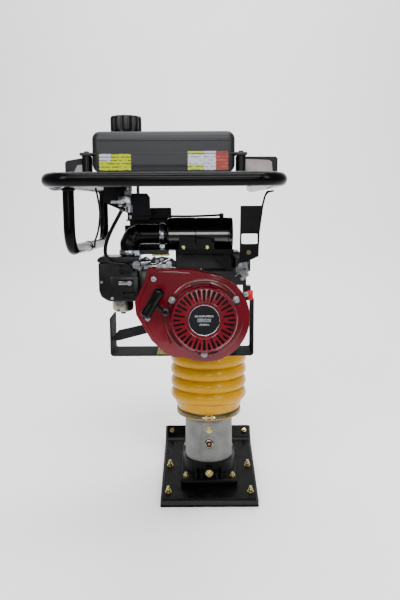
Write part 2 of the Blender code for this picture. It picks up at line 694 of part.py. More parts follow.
def make_cover():
    middle = COVER_BACK + COVER_DEEP / 2
    cover = plate("fan_cover", cover_outline()[::-1], COVER_DEEP, "red_paint", (0, middle, 0), "Y")
    soften(cover, 0.006, 2, 50)
    far = COVER_BACK + COVER_DEEP + 0.05
    room = rod("fan_room", FAN_RADIUS + 0.004, (ENGINE_X, COVER_BACK + 0.004, PINION_W),
               (ENGINE_X, far, PINION_W))
    window = rod("fan_window", 0.066, (ENGINE_X, COVER_BACK - 0.05, PINION_W), (ENGINE_X, far, PINION_W))
    cut(cover, room, window)
    back = COVER_BACK - GAP
    face = back - RECOIL_DEEP
    wall = 0.0025
    inner = RECOIL_FACE - wall
    shell = [(0, face), (0, face + wall), (inner - 0.004, face + wall), (inner, face + 0.008),
             (inner, back),
             (RECOIL_RADIUS, back), (RECOIL_RADIUS, back - 0.004), (RECOIL_FACE, back - 0.006),
             (RECOIL_FACE, face + 0.006), (RECOIL_FACE - 0.005, face)]
    place = Matrix.Translation((ENGINE_X, 0, PINION_W))
    housing = turned("recoil_housing", shell, "red_paint", (ENGINE_X, 0, PINION_W), "Y")
    for i in range(RECOIL_SLOTS):
        slot = box("recoil_slot_%d" % i, (0.045, face - 0.03, -0.0025), (0.070, face + 0.02, 0.0025))
        slot.matrix_local = place @ Matrix.Rotation(2 * pi * i / RECOIL_SLOTS, 4, "Y")
        cut(housing, slot)
    low = Vector((ENGINE_X - 0.1388, GRIP_V, PINION_W + 0.0095))
    high = Vector((ENGINE_X - 0.0975, GRIP_V, PINION_W + 0.0775))
    grip = rod("recoil_grip", GRIP_RADIUS, low, high, "black_rubber", 16)
    tip = (ENGINE_X - 0.099, GRIP_V + 0.006, PINION_W + 0.025)
    soften(grip, 0.004, 2, 50)
    join(grip, rod("grip_stem", 0.0085, (low + high) / 2, tip, None, 14, 0.006))


# ---- intake, exhaust and guard ----

def make_intake():
    ends = [(x, CAN_V, CAN_W) for x in (CAN_LEFT, CAN_RIGHT)]
    can = rod("filter_canister", CAN_RADIUS, *ends, "black_paint", 40)
    soften(can, 0.004, 2, 50)
    corner = (ELBOW_X, CAN_V, CAN_W)
    route = smooth_path([(CAN_LEFT - GAP, CAN_V, CAN_W), corner, (ELBOW_X, CAN_V, CARB_HIGH + GAP)],
                        ELBOW_BEND, 8)
    tube("intake_elbow", route, ELBOW_RADIUS, "black_rubber", resolution=4)
    ring("elbow_clamp", ELBOW_RADIUS + GAP, ELBOW_RADIUS + 0.002, -0.006, 0.006, "steel",
         (ELBOW_X, CAN_V, CARB_HIGH + 0.0072))
    front = CAN_V + 0.070
    right = CAN_RIGHT
    shelf = box("filter_shelf", (-0.083, -0.335, SHELF_W - 0.003), (right, front, SHELF_W), "black_paint")
    lip = box("shelf_lip", (-0.083, -0.335, SHELF_W - 0.003), (right, -0.332, SHELF_W + 0.009))
    saddle = box("shelf_saddle", (-0.075, CAN_V - CAN_RADIUS + 0.0025, SHELF_W - 0.002),
                 (0.012, CAN_V + CAN_RADIUS - 0.0025, CAN_W))
    cradle = rod("shelf_cradle", CAN_RADIUS + GAP, (-0.2, CAN_V, CAN_W), (0.2, CAN_V, CAN_W))
    gusset = box("shelf_gusset", (right - 0.004, -0.335, SHELF_W - 0.030), (right, front, SHELF_W))
    wall = box("shelf_wall", (ELBOW_X - 0.020, front - 0.003, SHELF_W - 0.003),
               (right, front, CAN_W + 0.020))
    join(shelf, lip, saddle, gusset, wall)
    cut(shelf, cradle)
    low_corner, high_corner = (CARB_LEFT, CARB_BACK, CARB_LOW), (CARB_RIGHT, CARB_FRONT, CARB_HIGH)
    carb = box("carb_cover", low_corner, high_corner, "black_plastic", 0.006)
    window = box("carb_window", (-0.222, CARB_BACK - 0.01, 0.632), (-0.194, CARB_BACK + 0.02, 0.656))
    slot = box("carb_slot", (-0.226, CARB_BACK - 0.01, 0.604), (-0.190, CARB_BACK + 0.02, 0.617))
    cut(carb, window, slot)
    low = CARB_LOW - GAP
    profile = [(0, low), (BOWL_RADIUS, low), (BOWL_RADIUS, low - 0.020), (0.020, low - 0.030),
               (0.006, low - 0.032), (0.006, low - 0.037), (0, low - 0.037)]
    turned("float_bowl", profile, "steel", (BOWL_X, (CARB_BACK + CARB_FRONT) / 2, 0), steps=32)
    near = CARB_FRONT + GAP
    box("carburettor", (-0.228, near, 0.570), (-0.135, near + 0.0347, 0.630), "cast_aluminium", 0.005)
    face = CARB_BACK - GAP
    choke = box("choke_lever", (-0.224, face - 0.006, 0.606), (-0.192, face - 0.003, 0.6145), "steel",
                0.001)
    join(choke, rod("choke_hub", 0.006, (-0.197, face - 0.006, 0.610), (-0.197, face, 0.610), None, 16))
    lever = box("fuel_lever", (-0.212, face - 0.007, 0.577), (-0.187, face - 0.003, 0.5845),
                "black_plastic", 0.001)
    join(lever, rod("fuel_hub", 0.006, (-0.191, face - 0.007, 0.5805), (-0.191, face, 0.5805), None, 16))
    box("muffler", (-0.004, -0.205, 0.612), (0.086, -0.105, 0.676), "black_cast", 0.010)
    across = ENGINE_X + 0.0025 + COVER_RADIUS - 0.0057
    box("engine_switch", (across, -0.379, PINION_W + 0.0391), (across + 0.014, -0.371, PINION_W + 0.0631),
        "red_plastic", 0.002)


def make_guard():
    # one bent strap under the engine
    left, right, low, back, front = -0.2485, 0.1085, 0.4265, -0.335, -0.235
    arc = [radians(a) for a in (0, 30, 60, 90)]
    outside, inside = GUARD_BEND, GUARD_BEND - SHEET
    foot = low + outside
    outer = [(left + outside - outside * cos(a), foot - outside * sin(a)) for a in arc]
    outer += [(right - outside + outside * sin(a), foot - outside * cos(a)) for a in arc]
    inner = [(right - outside + inside * sin(a), foot - inside * cos(a)) for a in arc][::-1]
    inner += [(left + outside - inside * cos(a), foot - inside * sin(a)) for a in arc][::-1]
    ends = [(right, 0.570), (right - SHEET, 0.570)]
    points = [(left, 0.523)] + outer + ends + inner + [(left + SHEET, 0.523)]
    plate("guard_frame", points, front - back, "black_paint", (0, (front + back) / 2, 0), "Y")


# ---- platform, handle and tank ----

def make_platform():
    deck = box("machine_platform", (DECK_LEFT, DECK_BACK, DECK_W - SHEET), (DECK_RIGHT, DECK_FRONT, DECK_W),
               "black_paint")
    left_ear = DECK_LEFT
    right_ear = DECK_LEFT + 2 * MOUNT_LONG + 2 * SHEET
    for side, low in (("left", left_ear), ("right", right_ear)):
        ear = box("deck_ear_" + side, (low, MOUNT_V - 0.030, DECK_W - 0.003),
                  (low + SHEET, MOUNT_V + 0.030, MOUNT_W + 0.024))
        join(deck, ear)
    post = box("deck_post", (-0.060, MOUNT_V - 0.030, CASE_TOP + GAP),
               (-0.022, MOUNT_V + 0.040, DECK_W - 0.002))
    skirt = box("deck_skirt", (DECK_LEFT + 0.010, DECK_BACK, DECK_W - 0.050),
                (-0.060, DECK_BACK + SHEET, DECK_W - 0.002))
    join(deck, post, skirt)
    for side, low in (("left", DECK_LEFT + SHEET), ("right", DECK_LEFT + 2 * SHEET + MOUNT_LONG)):
        ends = [(x, MOUNT_V, MOUNT_W) for x in (low + GAP, low + MOUNT_LONG - GAP)]
        rod(side + "_shock_mount", MOUNT_RADIUS, *ends, "black_rubber", 28)


def make_cheek(name, inner, base, outer, shoulder):
    # a plate beside the tank that faces the operator and reaches out over the handle's tube
    low = BRACKET_TOP - 0.002
    over = LOOP_W + LOOP_TUBE + 0.001
    way = 1 if inner > outer else -1
    outline = [(base, low), (base, over), (outer, over), (outer, low + shoulder - 0.004),
               (outer + way * 0.004, low + shoulder), (inner - way * 0.010, low + 0.0430),
               (inner, low + 0.0430), (inner, low)]
    return plate(name, outline, SHEET, None, (0, -0.545, 0), "Y")


def make_handle():
    left, right = LOOP_X - LOOP_WIDE / 2, LOOP_X + LOOP_WIDE / 2
    corners = [(left, LOOP_FRONT, LOOP_W), (left, LOOP_BACK, LOOP_W),
               (right, LOOP_BACK, LOOP_W), (right, LOOP_FRONT, LOOP_W)]
    tube("handle_loop", smooth_path(corners, LOOP_CORNER, 8), LOOP_TUBE, "black_paint")
    top = LOOP_W - LOOP_TUBE - GAP
    x = left + GRIP_INSET
    corners = [(x, GRIP_BACK, top), (x, GRIP_BACK, GRIP_LOW_BACK), (x, GRIP_FRONT, GRIP_LOW_FRONT),
               (x, GRIP_FRONT, top)]
    tube("side_handle", smooth_path(corners, GRIP_CORNER, 6), GRIP_TUBE, "black_paint")
    inside = LOOP_WIDE / 2 - LOOP_TUBE + 0.0015
    bracket = box("tank_bracket", (LOOP_X - inside, -0.560, BRACKET_TOP - SHEET),
                  (LOOP_X + inside, 0.0, BRACKET_TOP), "black_paint")
    low = DECK_LEFT + SHEET + MOUNT_LONG
    ear = box("bracket_ear", (low, MOUNT_V - 0.026, MOUNT_W - 0.024),
              (low + SHEET, MOUNT_V + 0.026, BRACKET_TOP - 0.002))
    outline = [(-0.2600, BRACKET_TOP - 0.002), (-0.2600, 0.806), (-0.1900, 0.775), (-0.1460, 0.775),
               (-0.1460, 0.818), (-0.1530, 0.828), (-0.1900, 0.828), (-0.1900, BRACKET_TOP - 0.002)]
    drop = plate("bracket_drop", outline, SHEET, None, (0, -0.300, 0), "Y")
    tank_left, tank_right = TANK_X - TANK_WIDE / 2 - 0.002, TANK_X + TANK_WIDE / 2 + 0.002
    cheeks = [make_cheek("left_cheek", tank_left, LOOP_X - inside + 0.002, left + 0.005, 0.036),
              make_cheek("right_cheek", tank_right, LOOP_X + inside - 0.002, right + 0.0105, 0.0425)]
    join(bracket, ear, drop, *cheeks)
    edge = right - 0.0030
    outline = [(edge + 0.0240, LOOP_W - 0.0180), (edge + 0.0110, LOOP_W - 0.0210),
               (edge + 0.0055, LOOP_W - 0.0280),
               (edge, 0.797), (edge - 0.0085, 0.734), (edge - 0.0105, 0.679), (edge - 0.0420, 0.6650),
               (edge - 0.0555, 0.6640), (edge - 0.0535, 0.797), (edge - 0.0045, 0.797),
               (edge + 0.0010, LOOP_W - 0.0280), (edge + 0.0070, LOOP_W - 0.0160),
               (edge + 0.0240, LOOP_W - 0.0145)]
    window = rounded((edge - 0.0505, 0.7085), (edge - 0.0135, 0.7320), 0.003)
    plate("right_bracket", outline, SHEET, "black_paint", (0, -0.392, 0), "Y", holes=(window,))


def make_tank():
    left, right = TANK_X - TANK_WIDE / 2, TANK_X + TANK_WIDE / 2
    front = TANK_BACK + TANK_DEEP
    tank = box("fuel_tank", (left, TANK_BACK, TANK_LOW), (right, front, TANK_HIGH), "black_plastic")
    soften(tank, 0.016, 3)
    lip = box("tank_lip", (left - 0.004, TANK_BACK - 0.004, 0.901), (right + 0.004, front + 0.004, 0.906),
              None, 0.002)
    neck = rod("tank_neck", CAP_RADIUS - 0.006, (CAP_X, CAP_V, TANK_HIGH - 0.01),
               (CAP_X, CAP_V, TANK_HIGH + NECK_RISE), None, 28)
    join(tank, lip, neck)
    for side, x in (("left", left - 0.012), ("right", right + 0.012)):
        ear = box("tank_ear_" + side, (x - 0.014, TANK_BACK + 0.004, 0.900),
                  (x + 0.014, TANK_BACK + 0.034, 0.908), None, 0.002)
        join(tank, ear)
    low = TANK_HIGH + NECK_RISE + GAP
    outline = []
    for i in range(72):
        angle = 2 * pi * i / 72
        radius = CAP_RADIUS - 0.0018 + 0.0018 * cos(CAP_LOBES * angle)
        outline.append((radius * cos(angle), radius * sin(angle)))
    cap = plate("tank_cap", outline, CAP_HIGH, "black_plastic", (CAP_X, CAP_V, low + CAP_HIGH / 2), "Z")
    soften(cap, 0.003, 2, 50)
    make_tap()
    clamp_x = LOOP_X - LOOP_WIDE / 2
    lever = ring("throttle_lever", LOOP_TUBE + GAP, LOOP_TUBE + 0.005, -0.008, 0.008, "steel",
                 (clamp_x, -0.620, LOOP_W), "Y", 28)
    arm = box("throttle_arm", (clamp_x + 0.016, -0.624, LOOP_W - 0.004),
              (clamp_x + 0.060, -0.616, LOOP_W + 0.002), None, 0.001)
    join(lever, arm)


def make_tap():
    tap = box("fuel_tap", (-0.2185, -0.346, 0.796), (-0.1885, -0.306, 0.8225), "cast_aluminium", 0.002)
    join(tap, rod("tap_cup", 0.0095, (-0.195, -0.326, 0.782), (-0.195, -0.326, 0.800), None, 20))
    lever = box("tap_lever", (-0.236, -0.354, 0.804), (-0.204, -0.3505, 0.811), "steel", 0.001)
    join(lever, rod("tap_hub", 0.0055, (-0.208, -0.354, 0.8075), (-0.208, -0.346 - GAP, 0.8075), None, 16))
    route = [(-0.2065, -0.352, 0.795), (-0.2150, -0.352, 0.779), (-0.2240, -0.352, 0.763),
             (-0.2330, -0.351, 0.747), (-0.2410, -0.350, 0.731), (-0.2475, -0.350, 0.715),
             (-0.2515, -0.350, 0.699), (-0.2520, -0.350, 0.685), (-0.2470, -0.350, 0.672),
             (-0.2370, -0.350, 0.663), (-0.2240, -0.349, 0.6595), (-0.2110, -0.348, 0.6590),
             (-0.2000, -0.346, 0.6560), (-0.1910, -0.343, 0.6490), (-0.1840, -0.340, 0.6390)]
    tube("fuel_hose", route, HOSE_RADIUS, "black_rubber", resolution=2)


def smooth_all():
    for thing in PARTS.objects:
        if thing.type == "MESH":
            thing.data.shade_smooth()


make_foot(make_shoe())
make_leg()
make_bellows()
make_ram()
make_crankcase()
make_drive()
make_engine()
make_cover()
make_intake()
make_guard()
make_platform()
make_handle()
make_tank()
smooth_all()
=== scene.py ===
import bpy
import bmesh
import json
from math import pi, sin, cos, tan, radians
from mathutils import Matrix, Vector

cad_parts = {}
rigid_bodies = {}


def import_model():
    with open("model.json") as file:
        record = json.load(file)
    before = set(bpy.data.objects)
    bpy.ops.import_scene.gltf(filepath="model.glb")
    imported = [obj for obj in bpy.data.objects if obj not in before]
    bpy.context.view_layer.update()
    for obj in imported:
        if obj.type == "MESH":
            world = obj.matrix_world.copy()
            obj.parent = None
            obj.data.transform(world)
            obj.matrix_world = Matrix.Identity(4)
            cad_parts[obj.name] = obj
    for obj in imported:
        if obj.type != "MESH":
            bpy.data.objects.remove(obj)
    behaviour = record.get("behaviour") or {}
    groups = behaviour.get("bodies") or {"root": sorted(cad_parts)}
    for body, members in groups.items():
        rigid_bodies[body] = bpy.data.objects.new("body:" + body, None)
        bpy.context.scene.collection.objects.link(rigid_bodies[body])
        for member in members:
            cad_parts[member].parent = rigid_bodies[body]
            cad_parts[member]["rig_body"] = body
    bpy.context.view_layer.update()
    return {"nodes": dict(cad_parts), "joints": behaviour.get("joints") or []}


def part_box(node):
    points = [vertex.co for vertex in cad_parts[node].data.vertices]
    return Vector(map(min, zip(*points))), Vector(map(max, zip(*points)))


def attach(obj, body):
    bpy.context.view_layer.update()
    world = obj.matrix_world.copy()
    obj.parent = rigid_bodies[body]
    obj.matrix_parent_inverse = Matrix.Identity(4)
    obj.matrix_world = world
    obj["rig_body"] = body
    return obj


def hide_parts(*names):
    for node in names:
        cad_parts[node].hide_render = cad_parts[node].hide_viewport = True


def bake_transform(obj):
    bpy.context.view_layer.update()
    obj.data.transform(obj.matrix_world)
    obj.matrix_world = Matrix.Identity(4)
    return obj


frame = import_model()
scene = bpy.context.scene
joints = {joint["name"]: joint for joint in frame["joints"]}

# the leg's own frame: X across, Y forward, Z up the leg; everything over the foot is laid out in it
legUp = Vector(joints["leg_travel"]["axis"]).normalized()
footHeight = 0.035
legLean = Vector((0, 0, 1)).rotation_difference(legUp).to_matrix().to_4x4()
legFrame = Matrix.Translation((0, 0, footHeight)) @ legLean
toLeg = legFrame.inverted()


def legBox(node):
    # lowest and highest corner of a CAD node, in the leg's frame
    points = [toLeg @ v.co for v in frame["nodes"][node].data.vertices]
    low = Vector([min(p[i] for p in points) for i in range(3)])
    high = Vector([max(p[i] for p in points) for i in range(3)])
    return low, high


def jointSpot(name):
    return toLeg @ Vector(joints[name]["pos_m"])


# camera and light

cameraSettings = {"place": (-0.0245, -1.718, 1.205), "pitch": 20, "roll": 0.3, "lens": 39, "sensor": 36}
cameraData = bpy.data.cameras.new("camera")
cameraData.lens = cameraSettings["lens"]
cameraData.sensor_width = cameraSettings["sensor"]
cameraObject = bpy.data.objects.new("camera", cameraData)
scene.collection.objects.link(cameraObject)
tilt = Matrix.Rotation(radians(90 - cameraSettings["pitch"]), 4, "X")
roll = Matrix.Rotation(radians(-cameraSettings["roll"]), 4, "Z")
cameraObject.matrix_world = Matrix.Translation(cameraSettings["place"]) @ tilt @ roll
scene.camera = cameraObject

lightSettings = [
    {"place": (-1.3, -1.9, 2.2), "size": (0.6, 1.2), "power": 32, "aim": (0, -0.1, 0.6)},
    {"place": (1.4, -1.8, 2.0), "size": (0.5, 1.2), "power": 22, "aim": (0, -0.1, 0.6)},
    {"place": (0.0, -2.0, 2.5), "size": (1.5, 0.4), "power": 42, "aim": (0, -0.1, 0.6)},
    {"place": (0.0, -2.7, 1.6), "size": (0.7, 0.7), "power": 16, "aim": (0, -0.1, 0.4)},
    {"place": (0.1, -0.6, 2.9), "size": (1.6, 0.5), "power": 50, "aim": (0, -0.2, 0.8)},
    {"place": (0.2, 1.2, 3.4), "size": (3.0, 1.2), "power": 170, "aim": (0, 3.2, 0.4)},
]
worldStrength = 0.38


def makeLights():
    for i, settings in enumerate(lightSettings):
        data = bpy.data.lights.new("softbox%d" % i, "AREA")
        data.shape = "RECTANGLE"
        data.size, data.size_y = settings["size"]
        data.energy = settings["power"]
        lamp = bpy.data.objects.new(data.name, data)
        scene.collection.objects.link(lamp)
        lamp.location = settings["place"]
        way = Vector(settings["aim"]) - Vector(settings["place"])
        lamp.rotation_euler = way.to_track_quat("-Z", "Y").to_euler()
    world = bpy.data.worlds.new("studio")
    scene.world = world
    world.use_nodes = True
    glow = world.node_tree.nodes["Background"]
    glow.inputs["Color"].default_value = (1, 1, 1, 1)
    glow.inputs["Strength"].default_value = worldStrength


# materials

def linear(hexColour):
    # sRGB hex to linear RGBA
    parts = [int(hexColour[i:i + 2], 16) / 255 for i in (1, 3, 5)]
    return tuple(c / 12.92 if c <= 0.04045 else ((c + 0.055) / 1.055) ** 2.4 for c in parts) + (1,)


def addNode(tree, kind, settings=None, links=None):
    node = tree.nodes.new(kind)
    for key, value in (settings or {}).items():
        if isinstance(key, str) and hasattr(node, key):
            setattr(node, key, value)
        else:
            node.inputs[key].default_value = value
    for key, source in (links or {}).items():
        tree.links.new(source, node.inputs[key])
    return node


def newMaterial(name, shaderSettings):
    material = bpy.data.materials.new(name)
    material.use_nodes = True
    tree = material.node_tree
    shader = tree.nodes["Principled BSDF"]
    for key, value in shaderSettings.items():
        shader.inputs[key].default_value = value
    place = addNode(tree, "ShaderNodeTexCoord")
    return material, tree, shader, place.outputs["Object"]


def tintBetween(tree, shader, factor, dark, light, spread=(0.3, 0.7)):
    ramp = addNode(tree, "ShaderNodeValToRGB", {}, {"Fac": factor})
    ramp.color_ramp.elements[0].position = spread[0]
    ramp.color_ramp.elements[1].position = spread[1]
    ramp.color_ramp.elements[0].color = linear(dark)
    ramp.color_ramp.elements[1].color = linear(light)
    tree.links.new(ramp.outputs["Color"], shader.inputs["Base Color"])
    return ramp


def roughBetween(tree, shader, factor, low, high):
    spread = addNode(tree, "ShaderNodeMapRange", {"To Min": low, "To Max": high}, {"Value": factor})
    tree.links.new(spread.outputs["Result"], shader.inputs["Roughness"])


def bumpFrom(tree, shader, height, strength, distance):
    bump = addNode(tree, "ShaderNodeBump", {"Strength": strength, "Distance": distance},
        {"Height": height})
    tree.links.new(bump.outputs["Normal"], shader.inputs["Normal"])


def perMetre(millimetres):
    # a texture scale whose features are about this far apart
    return 1000 / millimetres


def makePowderCoat(name, dark, light, rough=(0.16, 0.3), peel=2.2, gloss=0.0, shine=0.4):
    # sprayed and baked powder: deep gloss with a faint orange peel, so highlights are soft edged
    material, tree, shader, place = newMaterial(name, {"IOR": 1.45, "Specular IOR Level": shine,
        "Coat Weight": gloss, "Coat Roughness": 0.06})
    cloud = addNode(tree, "ShaderNodeTexNoise", {"Scale": perMetre(60), "Detail": 3.0}, {"Vector": place})
    tintBetween(tree, shader, cloud.outputs["Fac"], dark, light)
    roughBetween(tree, shader, cloud.outputs["Fac"], *rough)
    skin = addNode(tree, "ShaderNodeTexNoise", {"Scale": perMetre(peel), "Detail": 1.0},
        {"Vector": place})
    bumpFrom(tree, shader, skin.outputs["Fac"], 0.12, 0.0006)
    return material


def makeSandCasting(name, dark, light, metal, rough, grain=1.6, shine=0.5):
    # metal poured in sand: a pebbly skin with soft patches
    material, tree, shader, place = newMaterial(name,
        {"IOR": 1.5, "Metallic": metal, "Specular IOR Level": shine})
    grit = addNode(tree, "ShaderNodeTexNoise",
        {"Scale": perMetre(grain), "Detail": 4.0, "Roughness": 0.65}, {"Vector": place})
    patch = addNode(tree, "ShaderNodeTexNoise", {"Scale": perMetre(35), "Detail": 4.0}, {"Vector": place})
    tintBetween(tree, shader, patch.outputs["Fac"], dark, light)
    roughBetween(tree, shader, grit.outputs["Fac"], *rough)
    bumpFrom(tree, shader, grit.outputs["Fac"], 0.35, 0.0009)
    return material


def makeMoulded(name, dark, light, rough, grain=0.9, depth=0.0003, shine=0.35, film=0.0):
    # moulded plastic or rubber: the mould's fine spark texture gives a soft even sheen
    material, tree, shader, place = newMaterial(name, {"IOR": 1.46, "Specular IOR Level": shine,
        "Coat Weight": film, "Coat Roughness": 0.07})
    spark = addNode(tree, "ShaderNodeTexNoise", {"Scale": perMetre(grain), "Detail": 2.0},
        {"Vector": place})
    patch = addNode(tree, "ShaderNodeTexNoise", {"Scale": perMetre(45), "Detail": 3.0}, {"Vector": place})
    tintBetween(tree, shader, patch.outputs["Fac"], dark, light)
    roughBetween(tree, shader, patch.outputs["Fac"], *rough)
    bumpFrom(tree, shader, spark.outputs["Fac"], 0.3, depth)
    return material


def makePlated(name, colours, rough, scale=9):
    # zinc plate, passivated: thin-film colour drifts from gold to green and rose
    material, tree, shader, place = newMaterial(name, {"Metallic": 1.0})
    drift = addNode(tree, "ShaderNodeTexNoise",
        {"Scale": perMetre(scale), "Detail": 2.0, "Distortion": 0.8}, {"Vector": place})
    ramp = tintBetween(tree, shader, drift.outputs["Fac"], colours[0], colours[-1], (0.32, 0.68))
    for i, colour in enumerate(colours[1:-1], 1):
        step = ramp.color_ramp.elements.new(0.32 + 0.36 * i / (len(colours) - 1))
        step.color = linear(colour)
    roughBetween(tree, shader, drift.outputs["Fac"], *rough)
    pit = addNode(tree, "ShaderNodeTexNoise", {"Scale": perMetre(0.8), "Detail": 2.0}, {"Vector": place})
    bumpFrom(tree, shader, pit.outputs["Fac"], 0.15, 0.0002)
    return material


def makeLabel(name, ground, ink, rowGap=3.2, inkShare=0.0):
    # printed vinyl: a flat colour under a clear film, with rows of plain bars
    material, tree, shader, place = newMaterial(name, {"IOR": 1.46, "Specular IOR Level": 0.15,
        "Coat Weight": 0.1, "Coat Roughness": 0.08})
    rows = addNode(tree, "ShaderNodeTexWave", {"bands_direction": "Z",
        "Scale": perMetre(rowGap) / 20 * pi, "Distortion": 0.0}, {"Vector": place})
    breakup = addNode(tree, "ShaderNodeTexNoise", {"Scale": perMetre(5), "Detail": 0.0},
        {"Vector": place})
    both = addNode(tree, "ShaderNodeMath", {"operation": "MULTIPLY"},
        {0: rows.outputs["Fac"], 1: breakup.outputs["Fac"]})
    tintBetween(tree, shader, both.outputs["Value"], ground, ink, (0.42 - inkShare, 0.46 - inkShare))
    fleck = addNode(tree, "ShaderNodeTexNoise", {"Scale": perMetre(1.2), "Detail": 1.0},
        {"Vector": place})
    roughBetween(tree, shader, fleck.outputs["Fac"], 0.28, 0.4)
    bumpFrom(tree, shader, fleck.outputs["Fac"], 0.05, 0.0002)
    return material


looks = {
    "blackPowder": makePowderCoat("powderCoatGlossBlack", "#020203", "#050507", (0.15, 0.25), shine=0.08),
    "canEnamel": makePowderCoat("bakedEnamelBlack", "#030304", "#070709", (0.1, 0.16), 3.0, 0.4, 0.5),
    "platePowder": makePowderCoat("powderCoatPlateBlack", "#030304", "#070709", (0.22, 0.34), 1.8,
        shine=0.07),
    "guardPowder": makePowderCoat("powderCoatGuardBlack", "#1a1a1d", "#242427", (0.5, 0.65), 1.8,
        shine=0.02),
    "satinBlack": makePowderCoat("powderCoatSatinBlack", "#070709", "#0c0c0f", (0.34, 0.48), 1.4,
        shine=0.1),
    "redEnamel": makePowderCoat("bakedEnamelCrimson", "#48000a", "#5a0012", (0.18, 0.28), 3.0, 0.35, 0.2),
    "blackCasting": makeSandCasting("castIronPaintedBlack", "#020203", "#050506", 0.0, (0.28, 0.42), 2.2,
        0.1),
    "aluminiumCasting": makeSandCasting("aluminiumSandCast", "#5c5c5b", "#737372", 0.15, (0.4, 0.54), 1.3,
        0.25),
    "engineCasting": makeSandCasting("aluminiumDieCastDark", "#0d0d0f", "#1d1d1f", 0.4, (0.4, 0.6), 1.3,
        0.3),
    "yellowUrethane": makeMoulded("urethaneMouldedYellow", "#ae7c00", "#bb8900", (0.2, 0.28), 6, 0.0003,
        0.1, 0.22),
    "tankPlastic": makeMoulded("polyethyleneMouldedBlack", "#0b0c0f", "#121318", (0.38, 0.5), 1.1, 0.0005,
        0.3),
    "blackPlastic": makeMoulded("nylonMouldedBlack", "#030304", "#08080a", (0.26, 0.38), 0.9, 0.0003,
        0.25),
    "blackRubber": makeMoulded("rubberMouldedBlack", "#020203", "#040405", (0.2, 0.3), 1.5, 0.0003, 0.14),
    "redPlastic": makeMoulded("nylonMouldedRed", "#9c0610", "#c00c18", (0.3, 0.4), 1.0),
    "board": makeMoulded("laminatedBoardBlack", "#080706", "#0f0d0b", (0.5, 0.65), 2.0, 0.0006),
    "yellowZinc": makePlated("zincPassivatedYellow", ("#8a7444", "#b0a470", "#a3a06c", "#a47c58"),
        (0.2, 0.34), 7),
    "darkZinc": makePlated("zincPassivatedDark", ("#3c3624", "#5a5640", "#4c4638", "#6a5044"),
        (0.26, 0.4), 16),
    "brightZinc": makePlated("zincPassivatedClear", ("#74787d", "#9a9ea2", "#8c9196"), (0.2, 0.34), 14),
    "steel": makePlated("steelMachined", ("#56585b", "#7e8083"), (0.2, 0.32), 25),
    "drawnSteel": makePlated("steelDrawnPassivated", ("#6c5c3c", "#8c8a84", "#5c5a56"), (0.22, 0.3), 18),
    "brass": makePlated("brassTurned", ("#9a6a1c", "#b88c38"), (0.2, 0.32), 12),
    "yellowLabel": makeLabel("vinylLabelYellow", "#7f8a00", "#3e4400"),
    "whiteLabel": makeLabel("vinylLabelWhite", "#8a8b96", "#5c5c68"),
    "orangeLabel": makeLabel("vinylLabelOrange", "#5e0f00", "#7a2c12"),
    "badgeGrey": makePowderCoat("anodisedDiscGraphite", "#08080a", "#0e0e11", (0.25, 0.35), 1.2,
        shine=0.25),
    "oilGlass": makeMoulded("polycarbonateOilStained", "#120806", "#200e0a", (0.05, 0.1), 4),
    # pale grey for the black side plates: painted reflection, the sheen of the black steel put into its
    # colour
    "paintedSheenLining": makeMoulded("blackSteelPaintedSheen", "#5e5a58", "#807876", (0.4, 0.55), 2),
}


# building

def finishPiece(thing, look, body, stands=(), smooth=35):
    thing.data.materials.clear()
    thing.data.materials.append(looks[look])
    if thing.type == "MESH" and smooth:
        thing.data.shade_smooth()
        thing.data.set_sharp_from_angle(angle=radians(smooth))
    if thing.name not in scene.collection.objects:
        scene.collection.objects.link(thing)
    if isinstance(body, str):
        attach(thing, body)
    if stands:
        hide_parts(*stands)
    return thing


def shapePiece(name, shape, look, body, stands=(), place=legFrame, bevel=0.0, smooth=35):
    mesh = bpy.data.meshes.new(name)
    bmesh.ops.recalc_face_normals(shape, faces=shape.faces)
    shape.to_mesh(mesh)
    shape.free()
    mesh.transform(place)
    thing = bpy.data.objects.new(name, mesh)
    if bevel:
        softEdges(thing, bevel)
    return finishPiece(thing, look, body, stands, smooth)


def solidFrom(add, *facts, **options):
    # a new shape with one solid in it
    shape = bmesh.new()
    add(shape, *facts, **options)
    return shape


def softEdges(thing, width, steps=2, angle=30):
    bevel = thing.modifiers.new("softEdges", "BEVEL")
    bevel.width = width
    bevel.segments = steps
    bevel.limit_method = "ANGLE"
    bevel.angle_limit = radians(angle)
    bevel.harden_normals = False


def addBox(shape, low, high, turn=Matrix.Identity(4)):
    middle = (Vector(low) + Vector(high)) / 2
    size = Vector(high) - Vector(low)
    bmesh.ops.create_cube(shape, size=1, matrix=turn @ Matrix.Translation(middle)
        @ Matrix.Diagonal((*size, 1)))


def addRod(shape, radius, start, end, sides=32, tip=None):
    start, end = Vector(start), Vector(end)
    run = end - start
    turn = run.to_track_quat("Z", "X").to_matrix().to_4x4()
    bmesh.ops.create_cone(shape, cap_ends=True, segments=sides, radius1=radius,
        radius2=radius if tip is None else tip, depth=run.length,
        matrix=Matrix.Translation((start + end) / 2) @ turn)


def addTurned(shape, profile, place=Matrix.Identity(4), steps=64):
    # spins (radius, height) points about Z; both ends may lie on the axis
    rings = []
    for radius, height in profile:
        if radius < 1e-7:
            rings.append([shape.verts.new(place @ Vector((0, 0, height)))])
        else:
            circle = [(radius * cos(2 * pi * i / steps), radius * sin(2 * pi * i / steps))
                for i in range(steps)]
            rings.append([shape.verts.new(place @ Vector((x, y, height))) for x, y in circle])
    closed = len(rings[0]) > 1 and len(rings[-1]) > 1
    pairs = list(zip(rings, rings[1:])) + ([(rings[-1], rings[0])] if closed else [])
    for one, two in pairs:
        for i in range(steps):
            j = (i + 1) % steps
            loop = [one[i % len(one)], one[j % len(one)], two[j % len(two)], two[i % len(two)]]
            corners = list(dict.fromkeys(loop))
            if len(corners) > 2:
                shape.faces.new(corners)


